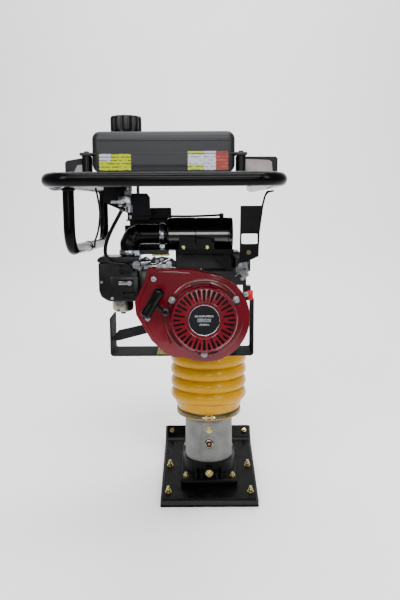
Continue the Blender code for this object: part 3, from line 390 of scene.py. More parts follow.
def alongAxis(axis, at):
    turn = {"X": Matrix.Rotation(pi / 2, 4, "Y"), "Y": Matrix.Rotation(-pi / 2, 4, "X"),
        "Z": Matrix.Identity(4)}[axis]
    return Matrix.Translation(at) @ turn


def roundCorner(route, radius, arcPoints=8):
    # a polyline whose corners are rounded with one radius
    route = [Vector(p) for p in route]
    result = [route[0]]
    for before, corner, after in zip(route, route[1:], route[2:]):
        into, out = (corner - before).normalized(), (after - corner).normalized()
        half = into.angle(out) / 2
        first = corner - into * radius * tan(half)
        centre = first + (out - into * into.dot(out)).normalized() * radius
        for step in range(arcPoints + 1):
            swing = 2 * half * step / arcPoints
            result.append(centre + (first - centre) * cos(swing) + into * radius * sin(swing))
    result.append(route[-1])
    return result


def smoothRoute(points, perSpan=6):
    # a Catmull-Rom curve through the points
    points = [Vector(p) for p in points]
    padded = [points[0] * 2 - points[1]] + points + [points[-1] * 2 - points[-2]]
    result = []
    for a, b, c, d in zip(padded, padded[1:], padded[2:], padded[3:]):
        for step in range(perSpan):
            t = step / perSpan
            square, cube = 2 * a - 5 * b + 4 * c - d, 3 * b - a - 3 * c + d
            result.append(0.5 * (2 * b + (c - a) * t + square * t * t + cube * t ** 3))
    result.append(points[-1])
    return result


def addTube(shape, route, radius, sides=20):
    # sweeps a circle along a route with a frame that doesn't twist
    route = [Vector(p) for p in route]
    side = None
    rings = []
    for i, point in enumerate(route):
        way = (route[min(i + 1, len(route) - 1)] - route[max(i - 1, 0)]).normalized()
        if side is None:
            side = way.orthogonal().normalized()
        side = (side - way * side.dot(way)).normalized()
        over = way.cross(side)
        size = radius(i / (len(route) - 1)) if callable(radius) else radius
        spokes = [side * cos(2 * pi * k / sides) + over * sin(2 * pi * k / sides) for k in range(sides)]
        rings.append([shape.verts.new(point + spoke * size) for spoke in spokes])
    for one, two in zip(rings, rings[1:]):
        for k in range(sides):
            shape.faces.new((one[k], one[(k + 1) % sides], two[(k + 1) % sides], two[k]))
    shape.faces.new(rings[0][::-1])
    shape.faces.new(rings[-1])


def addPlate(shape, outline, low, high, place=Matrix.Identity(4)):
    # extrudes an outline of (x, y) points from one height to another
    bottom = [shape.verts.new(place @ Vector((x, y, low))) for x, y in outline]
    top = [shape.verts.new(place @ Vector((x, y, high))) for x, y in outline]
    shape.faces.new(bottom[::-1])
    shape.faces.new(top)
    for i in range(len(outline)):
        j = (i + 1) % len(outline)
        shape.faces.new((bottom[i], bottom[j], top[j], top[i]))


# an outline's (x, y) becomes (across, up the leg), and its height points back
facingBack = Matrix.Rotation(pi / 2, 4, "X")


def cutWith(thing, cutter):
    cutter.name = thing.name + "Cutter"
    scene.collection.objects.link(cutter)
    change = thing.modifiers.new("cut", "BOOLEAN")
    change.operation = "DIFFERENCE"
    change.object = cutter
    change.solver = "EXACT"
    bpy.context.view_layer.update()
    mesh = bpy.data.meshes.new_from_object(thing.evaluated_get(bpy.context.evaluated_depsgraph_get()))
    thing.modifiers.clear()
    thing.data = mesh
    bpy.data.objects.remove(cutter)
    mesh.shade_smooth()
    mesh.set_sharp_from_angle(angle=radians(35))


def looseShape(shape, name="loose"):
    mesh = bpy.data.meshes.new(name)
    bmesh.ops.recalc_face_normals(shape, faces=shape.faces)
    shape.to_mesh(mesh)
    shape.free()
    mesh.transform(legFrame)
    return bpy.data.objects.new(name, mesh)


def refine(node, look, width, steps=2, angle=30):
    # the CAD node's own shape with its flats merged and its edges eased
    source = frame["nodes"][node]
    shape = bmesh.new()
    shape.from_mesh(source.data)
    bmesh.ops.remove_doubles(shape, verts=shape.verts, dist=0.00002)
    bmesh.ops.dissolve_limit(shape, angle_limit=radians(1.5), verts=shape.verts, edges=shape.edges)
    thing = shapePiece(node + "_made", shape, look, source["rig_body"], [node], Matrix.Identity(4))
    if width:
        softEdges(thing, width, steps, angle)
    return thing


def hexBolt(shape, spot, way, flats=0.0065, high=0.005, washer=0.0085):
    # a washer, a hexagon head and a slightly raised middle, from the seat along way
    spot, way = Vector(spot), Vector(way).normalized()
    addRod(shape, washer, spot, spot + way * 0.0016, 28)
    addRod(shape, flats, spot + way * 0.0016, spot + way * (0.0016 + high), 6, flats * 0.97)
    addRod(shape, flats * 0.72, spot + way * (0.0016 + high), spot + way * (0.0022 + high), 24,
        flats * 0.62)


backward = (0, -1, 0)


# foot and shoe

def makeFoot():
    for node, look, width in (("shoe_sole", "platePowder", 0.0018), ("shoe_board", "board", 0.001),
            ("shoe_plate", "platePowder", 0.0016), ("foot_casting", "blackCasting", 0.0016)):
        refine(node, look, width)
    for i in range(1, 7):
        refine("shoe_bolt_%d" % i, "yellowZinc", 0.0006)
    for i in range(1, 5):
        refine("foot_nut_%d" % i, "yellowZinc", 0.0007)
    refine("drain_plug", "yellowZinc", 0.0006)
    washers = bmesh.new()
    for i in range(1, 7):
        low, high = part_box("shoe_bolt_%d" % i)
        if high.y < 0.1:
            addRod(washers, 0.0092, ((low.x + high.x) / 2, (low.y + high.y) / 2, low.z - 0.0002),
                ((low.x + high.x) / 2, (low.y + high.y) / 2, low.z + 0.0008), 32)
    shapePiece("shoe_washers", washers, "yellowZinc", "leg", place=Matrix.Identity(4), bevel=0.0003)


legSettings = {"radius": 0.071, "rimRadius": 0.0905, "lugWide": 0.0195}


def makeSpringCylinder():
    low, high = legBox("spring_cylinder")
    r, rim = legSettings["radius"], legSettings["rimRadius"]
    profile = [(0.0148, high.z), (r - 0.002, high.z), (r, high.z - 0.002), (r, 0.202), (rim - 0.003, 0.2),
        (rim, 0.197), (rim, 0.176), (rim - 0.002, 0.173), (r + 0.006, 0.166), (r + 0.0008, 0.158),
        (r, 0.15), (r, low.z + 0.002), (r - 0.002, low.z), (r - 0.01, low.z), (r - 0.01, high.z - 0.012),
        (0.0148, high.z - 0.012)]
    shape = solidFrom(addTurned, profile, steps=96)
    shapePiece("spring_cylinder_cast", shape, "aluminiumCasting", "leg", ["spring_cylinder"], smooth=30)
    lug = bmesh.new()
    half, deep = legSettings["lugWide"], r + 0.004
    addBox(lug, (-half, -deep, 0.102), (half, -r + 0.012, 0.163))
    addRod(lug, 0.0205, (0, -deep, 0.099), (0, -r + 0.01, 0.099), 56)
    shapePiece("cylinder_lug_cast", lug, "aluminiumCasting", "leg", bevel=0.0016)
    groove = solidFrom(addBox, (-0.012, -deep - 0.0008, 0.129), (0.012, -deep + 0.001, 0.164))
    shapePiece("cylinder_lug_face", groove, "aluminiumCasting", "leg", bevel=0.0006)
    filler = bmesh.new()
    hexBolt(filler, (0, -deep - 0.0008, 0.14), backward, 0.0088, 0.0062, 0.0105)
    shapePiece("filler_plug_made", filler, "yellowZinc", "leg", ["filler_plug"], bevel=0.0005)
    face = -deep
    boss = solidFrom(addTurned, [(0.0138, 0.0), (0.0205, 0.0), (0.0205, 0.003), (0.0195, 0.0042),
        (0.015, 0.0042), (0.0138, 0.003)], Matrix.Translation((0, face, 0.099)) @ facingBack, 56)
    shapePiece("sight_glass_boss", boss, "aluminiumCasting", "leg")
    ring = solidFrom(addTurned, [(0.0085, 0.0), (0.0136, 0.0), (0.0136, 0.0046), (0.0126, 0.0066),
        (0.0108, 0.0078), (0.0092, 0.0078), (0.0085, 0.006)], Matrix.Translation((0, face, 0.099))
        @ facingBack, 48)
    shapePiece("sight_glass_ring", ring, "drawnSteel", "leg", ["sight_glass"])
    glass = solidFrom(addTurned, [(0, 0.0002), (0.0084, 0.0002), (0.0084, 0.005), (0.006, 0.0058),
        (0, 0.006)], Matrix.Translation((0, face, 0.099)) @ facingBack, 48)
    shapePiece("sight_glass_window", glass, "oilGlass", "leg")
    dot = solidFrom(addTurned, [(0, 0.0059), (0.003, 0.0058), (0.003, 0.0063), (0, 0.0064)],
        Matrix.Translation((0, face, 0.099)) @ facingBack, 24)
    shapePiece("sight_glass_float", dot, "brass", "leg")


bellowsSettings = {"bulge": 0.1135, "groove": 0.1035, "collar": 0.094, "first": 0.24, "pitch": 0.0362,
    "count": 4, "low": 0.176, "wall": 0.003, "fullness": 0.62}


def bellowsProfile(inset):
    # collars rolled into round bulges with tight grooves between them
    s = bellowsSettings
    start = s["first"] - s["pitch"] / 2
    low, collar = s["low"], s["collar"] - inset
    points = [(collar + 0.0012, low), (collar + 0.0012, low + 0.0025), (collar, low + 0.0035),
        (collar, low + 0.019)]
    for i in range(1, 5):
        t = i / 4
        spread = (s["groove"] - 0.0015 - inset - collar) * (1 - cos(pi * t)) / 2
        points.append((collar + spread, low + 0.019 + (start - low - 0.019) * t))
    steps = 12
    for i in range(s["count"] * steps + 1):
        wave = abs(sin(pi * i / steps))
        bulge = (s["bulge"] - s["groove"]) * wave ** s["fullness"]
        points.append((s["groove"] - inset + bulge, start + s["pitch"] * i / steps))
    top = points[-1][1]
    points += [(collar, top + 0.002), (collar, top + 0.015)]
    return points


def makeBellows():
    s = bellowsSettings
    shape = bmesh.new()
    addTurned(shape, bellowsProfile(0) + bellowsProfile(s["wall"])[::-1], steps=96)
    thing = looseShape(shape, "bellows_moulded")
    finishPiece(thing, "yellowUrethane", None, ["bellows"], 60)
    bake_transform(thing)


def makeClamps():
    collar = bellowsSettings["collar"] + 0.0004
    for node, body in (("lower_clamp", "leg"), ("upper_clamp", "machine")):
        low, high = legBox(node)
        bottom = 0.179 if body == "leg" else low.z
        top = 0.1935 if body == "leg" else high.z
        band = bmesh.new()
        addTurned(band, [(collar, bottom), (collar + 0.0018, bottom), (collar + 0.0024, bottom + 0.001),
            (collar + 0.0024, top - 0.001), (collar + 0.0018, top), (collar, top)], steps=96)
        shapePiece(node + "_band", band, "darkZinc", body, [node])
        if body == "leg":
            middle = (bottom + top) / 2
            bolt = bmesh.new()
            for side in (-1, 1):
                addBox(bolt, (side * 0.0085 - 0.0035, -collar - 0.0085, bottom + 0.001),
                    (side * 0.0085 + 0.0035, -collar - 0.001, top - 0.001))
            addRod(bolt, 0.0028, (-0.02, -collar - 0.0058, middle), (0.017, -collar - 0.0058, middle), 20)
            addRod(bolt, 0.0052, (0.0125, -collar - 0.0058, middle), (0.0175, -collar - 0.0058, middle),
                6)
            addRod(bolt, 0.005, (-0.0165, -collar - 0.0058, middle), (-0.013, -collar - 0.0058, middle),
                20)
            shapePiece("lower_clamp_bolt", bolt, "yellowZinc", body, bevel=0.0004)


# hidden drive

springSettings = {"wire": 0.0045, "radius": 0.042, "steps": 24}
coverBoltCircle = 0.056


def makeInside():
    refine("guide_cylinder", "aluminiumCasting", 0)
    refine("crankcase", "blackCasting", 0.002)
    refine("crankcase_cover", "blackCasting", 0.0015)
    refine("crank_gear", "steel", 0)
    refine("clutch_drum", "steel", 0)
    refine("connecting_rod", "steel", 0.0008)
    refine("ram_rod", "steel", 0)
    refine("flywheel", "aluminiumCasting", 0)
    coverBolts = bmesh.new()
    low, high = legBox("crankcase_cover")
    middle = jointSpot("crank_turn")
    for i in range(6):
        angle = radians(30 + 60 * i)
        spot = Vector((coverBoltCircle * cos(angle), high.y, middle.z + coverBoltCircle * sin(angle)))
        if spot.z - 0.006 > low.z:
            hexBolt(coverBolts, spot, (0, 1, 0), 0.005, 0.004, 0.0065)
    shapePiece("crankcase_cover_bolts", coverBolts, "yellowZinc", "machine", bevel=0.0004)
    # each spring sits between the leg and the machine; here it is coiled to fill its CAD node's box and
    # put on no body
    wire, radius, steps = springSettings["wire"], springSettings["radius"], springSettings["steps"]
    for node, ends, turns in (("upper_spring", ("machine", "leg"), 6),
            ("lower_spring", ("leg", "machine"), 7)):
        low, high = legBox(node)
        count = turns * steps
        rise = (high.z - low.z - 2 * wire) / count
        angles = [2 * pi * i / steps for i in range(count + 1)]
        route = [(radius * cos(a), radius * sin(a), low.z + wire + rise * i) for i,
            a in enumerate(angles)]
        coil = bmesh.new()
        addTube(coil, route, wire, 10)
        thing = looseShape(coil, node + "_coil")
        finishPiece(thing, "steel", None, [node])
        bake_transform(thing)


# engine

recoilSettings = {"flange": 0.094, "face": 0.079, "deep": 0.034, "slots": 36, "slotIn": 0.0455,
    "slotOut": 0.072, "badge": 0.035, "wall": 0.0025, "boltCircle": 0.0872, "arcIn": 0.0815,
    "arcGap": 0.005, "arcWide": 0.0026}


def makeCover():
    refine("fan_cover", "redEnamel", 0.004, 3, 40)
    axis = jointSpot("engine_turn")
    back = legBox("fan_cover")[0].y
    # a pressed rim runs round the cover's duct and shoulder
    rim = bmesh.new()
    edge = [(-0.14, 0.642), (-0.148, 0.618), (-0.169, 0.573), (-0.167, 0.546), (-0.136, 0.487)]
    addTube(rim, smoothRoute([(x, back + 0.0008, z) for x, z in edge], 6), 0.0022, 10)
    shapePiece("cover_pressed_rim", rim, "redEnamel", "machine")
    crease = bmesh.new()
    addTube(crease, smoothRoute([(-0.1045, back + 0.001, 0.538), (-0.105, back + 0.0006, 0.5),
        (-0.0965, back + 0.001, 0.47)], 6), 0.0024, 10)
    addTube(crease, smoothRoute([(-0.133, back + 0.001, 0.643), (-0.09, back + 0.0006, 0.644),
        (-0.048, back + 0.001, 0.64)], 6), 0.0026, 10)
    shapePiece("cover_pressed_creases", crease, "redEnamel", "machine")
    screws = bmesh.new()
    for x, z in ((-0.1335, 0.627), (-0.149, 0.533), (0.084, 0.59)):
        hexBolt(screws, (x, back - 0.0002, z), backward, 0.0048, 0.0036, 0.0065)
    shapePiece("cover_screws", screws, "brightZinc", "machine", bevel=0.0003)
    return axis, back


def makeRecoil():
    s = recoilSettings
    axis, back = makeCover()
    place = Matrix.Translation((axis.x, back - 0.0003, axis.z)) @ facingBack
    wall, deep = s["wall"], s["deep"]
    outer = [(0, deep), (s["face"] - 0.008, deep), (s["face"] - 0.003, deep - 0.0015),
        (s["face"], deep - 0.006), (s["face"] + 0.0015, 0.0075), (s["face"] + 0.004, 0.0045),
        (s["flange"] - 0.002, 0.004), (s["flange"], 0.0025), (s["flange"], 0.0)]
    inner = [(s["face"] - wall, 0.0), (s["face"] - wall - 0.001, deep - 0.008),
        (s["face"] - 0.01, deep - wall), (0, deep - wall)]
    shape = bmesh.new()
    addTurned(shape, outer + inner, place, 144)
    housing = shapePiece("recoil_housing_pressed", shape, "redEnamel", "machine", ["recoil_housing"])
    holes = bmesh.new()
    for i in range(s["slots"]):
        angle = 2 * pi * i / s["slots"]
        inside = s["slotIn"] if i % 2 else s["slotIn"] + 0.01
        turn = place @ Matrix.Rotation(angle, 4, "Z")
        addPlate(holes, [(inside, -0.002), (s["slotOut"] - 0.002, -0.0034), (s["slotOut"], -0.0018),
            (s["slotOut"], 0.0018), (s["slotOut"] - 0.002, 0.0034), (inside, 0.002)], deep - 0.02,
            deep + 0.01, turn)
    for degrees in (20, 80, 140, 200, 260):
        start = radians(degrees)
        for band in range(2):
            radius = s["arcIn"] + s["arcGap"] * band
            far = radius + s["arcWide"]
            angles = [start + radians(a) for a in range(0, 33, 4)]
            nearArc = [(radius * cos(a), radius * sin(a)) for a in angles]
            farArc = [(far * cos(a), far * sin(a)) for a in reversed(angles)]
            addPlate(holes, nearArc + farArc, -0.01, 0.02, place)
    cutWith(housing, looseShape(holes))
    plateBehind = solidFrom(addTurned, [(0, 0.0175), (0.0735, 0.0175), (0.0735, 0.0165), (0, 0.0165)],
        place, 64)
    shapePiece("recoil_pulley_plate", plateBehind, "blackPlastic", "machine")
    # a black ring just under the arc slots: painted shade, the darkness seen through the slots made into
    # a solid
    shade = solidFrom(addTurned, [(0.0806, 0.0003), (0.0806, 0.0032), (0.09, 0.0032), (0.09, 0.0003)],
        place, 96)
    shapePiece("recoil_slot_painted_shade", shade, "blackPlastic", "machine")
    lips = bmesh.new()
    for radius, height in ((s["slotOut"] + 0.0016, deep - 0.0006), (s["slotIn"] - 0.0016, deep)):
        addTurned(lips, [(radius - 0.0013, height - 0.001), (radius - 0.0009, height + 0.0009),
            (radius, height + 0.0014), (radius + 0.0009, height + 0.0009),
            (radius + 0.0013, height - 0.001)], place, 96)
    shapePiece("recoil_pressed_rings", lips, "redEnamel", "machine")
    badge = solidFrom(addTurned, [(0, deep + 0.0016), (s["badge"] - 0.001, deep + 0.0016),
        (s["badge"], deep + 0.0006), (s["badge"], deep), (0, deep)], place, 64)
    shapePiece("recoil_badge_disc", badge, "badgeGrey", "machine")
    edge = solidFrom(addTurned, [(s["badge"] + 0.0001, deep), (s["badge"] + 0.0001, deep + 0.0016),
        (s["badge"] + 0.0012, deep + 0.002), (s["badge"] + 0.0022, deep + 0.001),
        (s["badge"] + 0.0022, deep)], place, 64)
    shapePiece("recoil_badge_rim", edge, "brightZinc", "machine")
    bars = bmesh.new()
    for low, high, wide in ((0.0075, 0.0115, 0.022), (-0.004, 0.004, 0.016), (-0.0125, -0.0085, 0.012)):
        addBox(bars, (-wide, low, deep + 0.0012), (wide, high, deep + 0.0021), place)
    shapePiece("recoil_badge_bars", bars, "brightZinc", "machine", bevel=0.0003)
    bolts = bmesh.new()
    for degrees in (30, 150, 270):
        x = axis.x + s["boltCircle"] * cos(radians(degrees))
        z = axis.z + s["boltCircle"] * sin(radians(degrees))
        addRod(bolts, 0.0082, (x, back - 0.001, z), (x, back - 0.006, z), 32)
        hexBolt(bolts, (x, back - 0.0058, z), backward, 0.0058, 0.0042, 0.0076)
    shapePiece("recoil_bolts", bolts, "brightZinc", "machine", bevel=0.0004)


gripSettings = {"radius": 0.013, "low": (-0.1538, -0.446, 0.5434), "high": (-0.1125, -0.446, 0.6114),
    "eye": (-0.109, -0.433, 0.556), "rope": 0.0021}


def makeGrip():
    low, high = Vector(gripSettings["low"]), Vector(gripSettings["high"])
    middle = (low + high) / 2
    eye = Vector(gripSettings["eye"])
    count = 22

    def girth(t):
        # rounded ends and a slight waist
        end = min(t, 1 - t) * 2
        rounding = (end * 5) ** 0.5 if end < 0.2 else 1
        return gripSettings["radius"] * rounding * (0.86 + 0.14 * abs(2 * t - 1)) + 0.0002

    grip = bmesh.new()
    addTube(grip, [low.lerp(high, i / count) for i in range(count + 1)], girth, 24)
    addTube(grip, [middle, middle.lerp(eye, 0.4), middle.lerp(eye, 0.8)], lambda t: 0.0085 - 0.0035 * t,
        20)
    shapePiece("recoil_grip_moulded", grip, "blackRubber", "starter_grip", ["recoil_grip"], smooth=50)
    guide = solidFrom(addTurned, [(0.0035, 0.0), (0.0095, 0.0), (0.01, 0.01), (0.009, 0.0135),
        (0.006, 0.015), (0.0035, 0.0135)], Matrix.Translation((-0.1045, -0.421, 0.5535)) @ facingBack, 32)
    shapePiece("rope_guide", guide, "blackPlastic", "machine")
    rope = bmesh.new()
    addTube(rope, [middle.lerp(eye, 0.75), eye, Vector((-0.104, -0.42, 0.5535))], gripSettings["rope"],
        12)
    thing = looseShape(rope, "starter_rope")
    finishPiece(thing, "blackRubber", None)
    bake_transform(thing)


def makeEngine():
    refine("engine_block", "engineCasting", 0.002)
    refine("muffler", "satinBlack", 0.002)
    refine("carburettor", "aluminiumCasting", 0.001)
    refine("engine_switch", "redPlastic", 0.0008)
    body = solidFrom(addBox, (0.08, -0.363, 0.57), (0.0985, -0.335, 0.606))
    shapePiece("switch_housing", body, "blackPlastic", "machine", bevel=0.0015)
    shroud = bmesh.new()
    addBox(shroud, (-0.02, -0.352, 0.606), (0.088, -0.215, 0.64))
    for i in range(7):
        addBox(shroud, (0.062, -0.35 + i * 0.0185, 0.64), (0.098, -0.346 + i * 0.0185, 0.672))
    shapePiece("head_fins", shroud, "engineCasting", "machine", bevel=0.001)
    makeLinkage()


def makeLinkage():
    # governor arm, throttle plate, springs and screws between the carburettor and the filter
    plate = bmesh.new()
    place = facingBack
    addPlate(plate, [(-0.15, 0.653), (-0.088, 0.652), (-0.082, 0.662), (-0.092, 0.671), (-0.118, 0.675),
        (-0.146, 0.668)], 0.33, 0.3325, place)
    addPlate(plate, [(-0.176, 0.64), (-0.15, 0.64), (-0.146, 0.672), (-0.156, 0.676), (-0.172, 0.668)],
        0.338, 0.34, place)
    addRod(plate, 0.0042, (-0.136, -0.35, 0.6705), (-0.136, -0.322, 0.6705), 20)
    addRod(plate, 0.0062, (-0.108, -0.342, 0.661), (-0.108, -0.331, 0.661), 24)
    addRod(plate, 0.0035, (-0.16, -0.35, 0.655), (-0.16, -0.33, 0.655), 20)
    shapePiece("throttle_plates", plate, "engineCasting", "machine", bevel=0.0005)
    rods = bmesh.new()
    addTube(rods, smoothRoute([(-0.172, -0.345, 0.648), (-0.15, -0.348, 0.658), (-0.12, -0.348, 0.66),
        (-0.094, -0.345, 0.672)], 6), 0.0014, 8)
    addTube(rods, smoothRoute([(-0.168, -0.342, 0.664), (-0.14, -0.346, 0.65), (-0.105, -0.344, 0.648)],
        6), 0.0012, 8)
    coil = [(-0.158 + 0.03 * i / 90, -0.35 + 0.0035 * cos(2 * pi * i / 9),
        0.6635 + 0.0035 * sin(2 * pi * i / 9)) for i in range(91)]
    addTube(rods, coil, 0.0006, 6)
    shapePiece("throttle_rods", rods, "brightZinc", "machine")
    throat = bmesh.new()
    addRod(throat, 0.01, (-0.178, -0.352, 0.656), (-0.178, -0.322, 0.656), 32)
    addRod(throat, 0.007, (-0.166, -0.356, 0.661), (-0.142, -0.356, 0.664), 28)
    addBox(throat, (-0.16, -0.352, 0.646), (-0.14, -0.338, 0.657))
    addBox(throat, (-0.13, -0.35, 0.648), (-0.106, -0.34, 0.658))
    for x, z in ((-0.17, 0.648), (-0.15, 0.67), (-0.128, 0.665), (-0.116, 0.669), (-0.122, 0.653)):
        hexBolt(throat, (x, -0.352, z), backward, 0.0038, 0.0034, 0.0052)
    shapePiece("throttle_body_parts", throat, "steel", "machine", bevel=0.0006)
    linkage = bmesh.new()
    addPlate(linkage, [(0.06, 0.64), (0.072, 0.662), (0.088, 0.664), (0.094, 0.64), (0.086, 0.618),
        (0.074, 0.632)], 0.354, 0.356, place)
    for x, z in ((0.066, 0.646), (0.082, 0.656), (0.089, 0.632), (0.078, 0.622)):
        hexBolt(linkage, (x, -0.356, z), backward, 0.0036, 0.003, 0.005)
    addTube(linkage, smoothRoute([(0.06, -0.36, 0.628), (0.074, -0.362, 0.64), (0.082, -0.362, 0.652),
        (0.092, -0.358, 0.662)], 6), 0.0012, 8)
    coil = [(0.062 + 0.026 * i / 80, -0.361 + 0.003 * cos(2 * pi * i / 8),
        0.636 + 0.01 * i / 80 + 0.003 * sin(2 * pi * i / 8)) for i in range(81)]
    addTube(linkage, coil, 0.0006, 6)
    shapePiece("governor_linkage", linkage, "steel", "machine", bevel=0.0004)
    backing = solidFrom(addBox, (-0.085, -0.3, 0.641), (0.056, -0.24, 0.689))
    shapePiece("air_guide_sheets", backing, "engineCasting", "machine", bevel=0.001)
    sill = solidFrom(addBox, (-0.172, -0.33, 0.6802), (-0.101, -0.29, 0.691))
    shapePiece("air_guide_sill", sill, "blackPlastic", "machine", bevel=0.001)
    strip = solidFrom(addBox, (-0.141, -0.336, 0.6765), (-0.099, -0.3, 0.68))
    shapePiece("heat_shield_edge", strip, "yellowZinc", "machine", bevel=0.0006)
    stud = bmesh.new()
    hexBolt(stud, (-0.0985, -0.368, 0.66), backward, 0.0062, 0.005, 0.0075)
    addRod(stud, 0.0045, (-0.0985, -0.3675, 0.66), (-0.0985, -0.33, 0.66), 20)
    shapePiece("cover_top_bolt", stud, "brightZinc", "machine", bevel=0.0004)


# air filter, intake and carburettor

canSettings = {"radius": 0.0405, "seam": -0.034, "cable": 0.0028}


def makeFilter():
    low, high = legBox("filter_canister")
    axis = Vector(((low.x + high.x) / 2, (low.y + high.y) / 2, (low.z + high.z) / 2))
    r = canSettings["radius"]
    seam = canSettings["seam"] - low.x
    length = high.x - low.x
    profile = [(0, 0), (0.03, 0), (r - 0.003, 0.002), (r, 0.006), (r, seam - 0.0012), (r - 0.0012, seam),
        (r, seam + 0.0012), (r, length - 0.0125), (r - 0.0012, length - 0.0115), (r, length - 0.0105),
        (r, length - 0.004), (r - 0.002, length - 0.0008), (r - 0.005, length), (0, length)]
    can = solidFrom(addTurned, profile, Matrix.Translation((low.x, axis.y, axis.z))
        @ Matrix.Rotation(pi / 2, 4, "Y"), 96)
    shapePiece("filter_canister_rolled", can, "canEnamel", "machine", ["filter_canister"])
    refine("filter_shelf", "blackPowder", 0.0008)
    straps = bmesh.new()
    for x, wide in ((-0.0535, 0.0215), (-0.0095, 0.0215)):
        steps = 14
        spread = [radians(180 + 12 + 96 * i / steps) for i in range(steps + 1)]
        inner = [((r + 0.0004) * cos(a), (r + 0.0004) * sin(a)) for a in spread]
        outer = [((r + 0.0026) * cos(a), (r + 0.0026) * sin(a)) for a in reversed(spread)]
        aroundCan = Matrix.Rotation(pi / 2, 4, "Z") @ Matrix.Rotation(pi / 2, 4, "X")
        turn = Matrix.Translation((x, axis.y, axis.z)) @ aroundCan
        addPlate(straps, inner + outer, -wide, wide, turn)
    shapePiece("canister_straps", straps, "satinBlack", "machine", bevel=0.0005)
    apron = bmesh.new()
    addPlate(apron, [(-0.0745, 0.69), (-0.035, 0.69), (-0.035, 0.723), (-0.074, 0.726)],
        -axis.y + r + 0.0045, -axis.y + r + 0.006, facingBack)
    addPlate(apron, [(-0.033, 0.69), (0.0125, 0.69), (0.002, 0.718), (-0.033, 0.72)],
        -axis.y + r + 0.0045, -axis.y + r + 0.006, facingBack)
    shapePiece("saddle_apron", apron, "satinBlack", "machine", bevel=0.0006)
    bolts = bmesh.new()
    for x in (-0.064, -0.006):
        hexBolt(bolts, (x, axis.y - r - 0.0062, 0.697), backward, 0.003, 0.0024, 0.0042)
    shapePiece("saddle_bolts", bolts, "yellowZinc", "machine", bevel=0.0003)
    brace = solidFrom(addPlate, [(0.004, 0.678), (0.026, 0.678), (0.058, 0.646), (0.058, 0.62),
        (0.04, 0.64)], 0.318, 0.321, facingBack)
    shapePiece("shelf_brace", brace, "satinBlack", "machine", bevel=0.0006)
    knob = solidFrom(addTurned, [(0, 0), (0.0055, 0), (0.006, 0.006), (0.005, 0.011), (0, 0.011)],
        Matrix.Translation((0.03, -0.285, axis.z + r - 0.0005)), 24)
    shapePiece("cable_end_boot", knob, "blackRubber", "machine")
    cable = solidFrom(addTube, smoothRoute([(0.028, -0.285, axis.z + r + 0.006),
        (0.0, -0.285, axis.z + r + 0.0045), (-0.05, -0.28, axis.z + r + 0.003),
        (-0.1, -0.262, axis.z + r + 0.003)], 8), canSettings["cable"], 12)
    shapePiece("governor_cable", cable, "blackRubber", "machine")


elbowSettings = {"radius": 0.0255, "bend": 0.03, "across": -0.199, "swell": 0.0012}


def makeElbow():
    canLow, canHigh = legBox("filter_canister")
    axisV, axisW = (canLow.y + canHigh.y) / 2, (canLow.z + canHigh.z) / 2
    boxTop = legBox("carb_cover")[1].z
    x = elbowSettings["across"]
    corners = [(canLow.x + 0.004, axisV, axisW), (x, axisV, axisW), (x, axisV, boxTop + 0.0005)]
    route = roundCorner(corners, elbowSettings["bend"], 14)
    dense = smoothRoute(route, 3)

    def girth(t):
        # three shallow swells where the hose is ribbed
        swell = elbowSettings["swell"] * (0.5 - 0.5 * cos(2 * pi * t * 3))
        return elbowSettings["radius"] - 0.001 + swell

    elbow = solidFrom(addTube, dense, girth, 48)
    shapePiece("intake_elbow_moulded", elbow, "blackRubber", "machine", ["intake_elbow"], smooth=50)
    clamps = bmesh.new()
    for at, axis in ((Vector((-0.118, axisV, axisW)), "X"), (Vector((x, axisV, boxTop + 0.0085)), "Z")):
        r = elbowSettings["radius"] + 0.0002
        addTurned(clamps, [(r, -0.0055), (r + 0.0014, -0.0055), (r + 0.0018, -0.0045),
            (r + 0.0018, 0.0045), (r + 0.0014, 0.0055), (r, 0.0055)], alongAxis(axis, at), 64)
    addBox(clamps, (-0.1245, axisV - 0.01, axisW - 0.0345), (-0.1115, axisV + 0.006, axisW - 0.0262))
    addRod(clamps, 0.0042, (-0.118, axisV - 0.016, axisW - 0.031), (-0.118, axisV + 0.008, axisW - 0.031),
        20)
    addBox(clamps, (x + 0.014, axisV - 0.033, boxTop + 0.0025),
        (x + 0.03, axisV - 0.0225, boxTop + 0.0145))
    addRod(clamps, 0.0045, (x + 0.012, axisV - 0.0285, boxTop + 0.0085),
        (x + 0.036, axisV - 0.0285, boxTop + 0.0085), 20)
    shapePiece("elbow_clamps", clamps, "brightZinc", "machine", ["elbow_clamp"], bevel=0.0003)


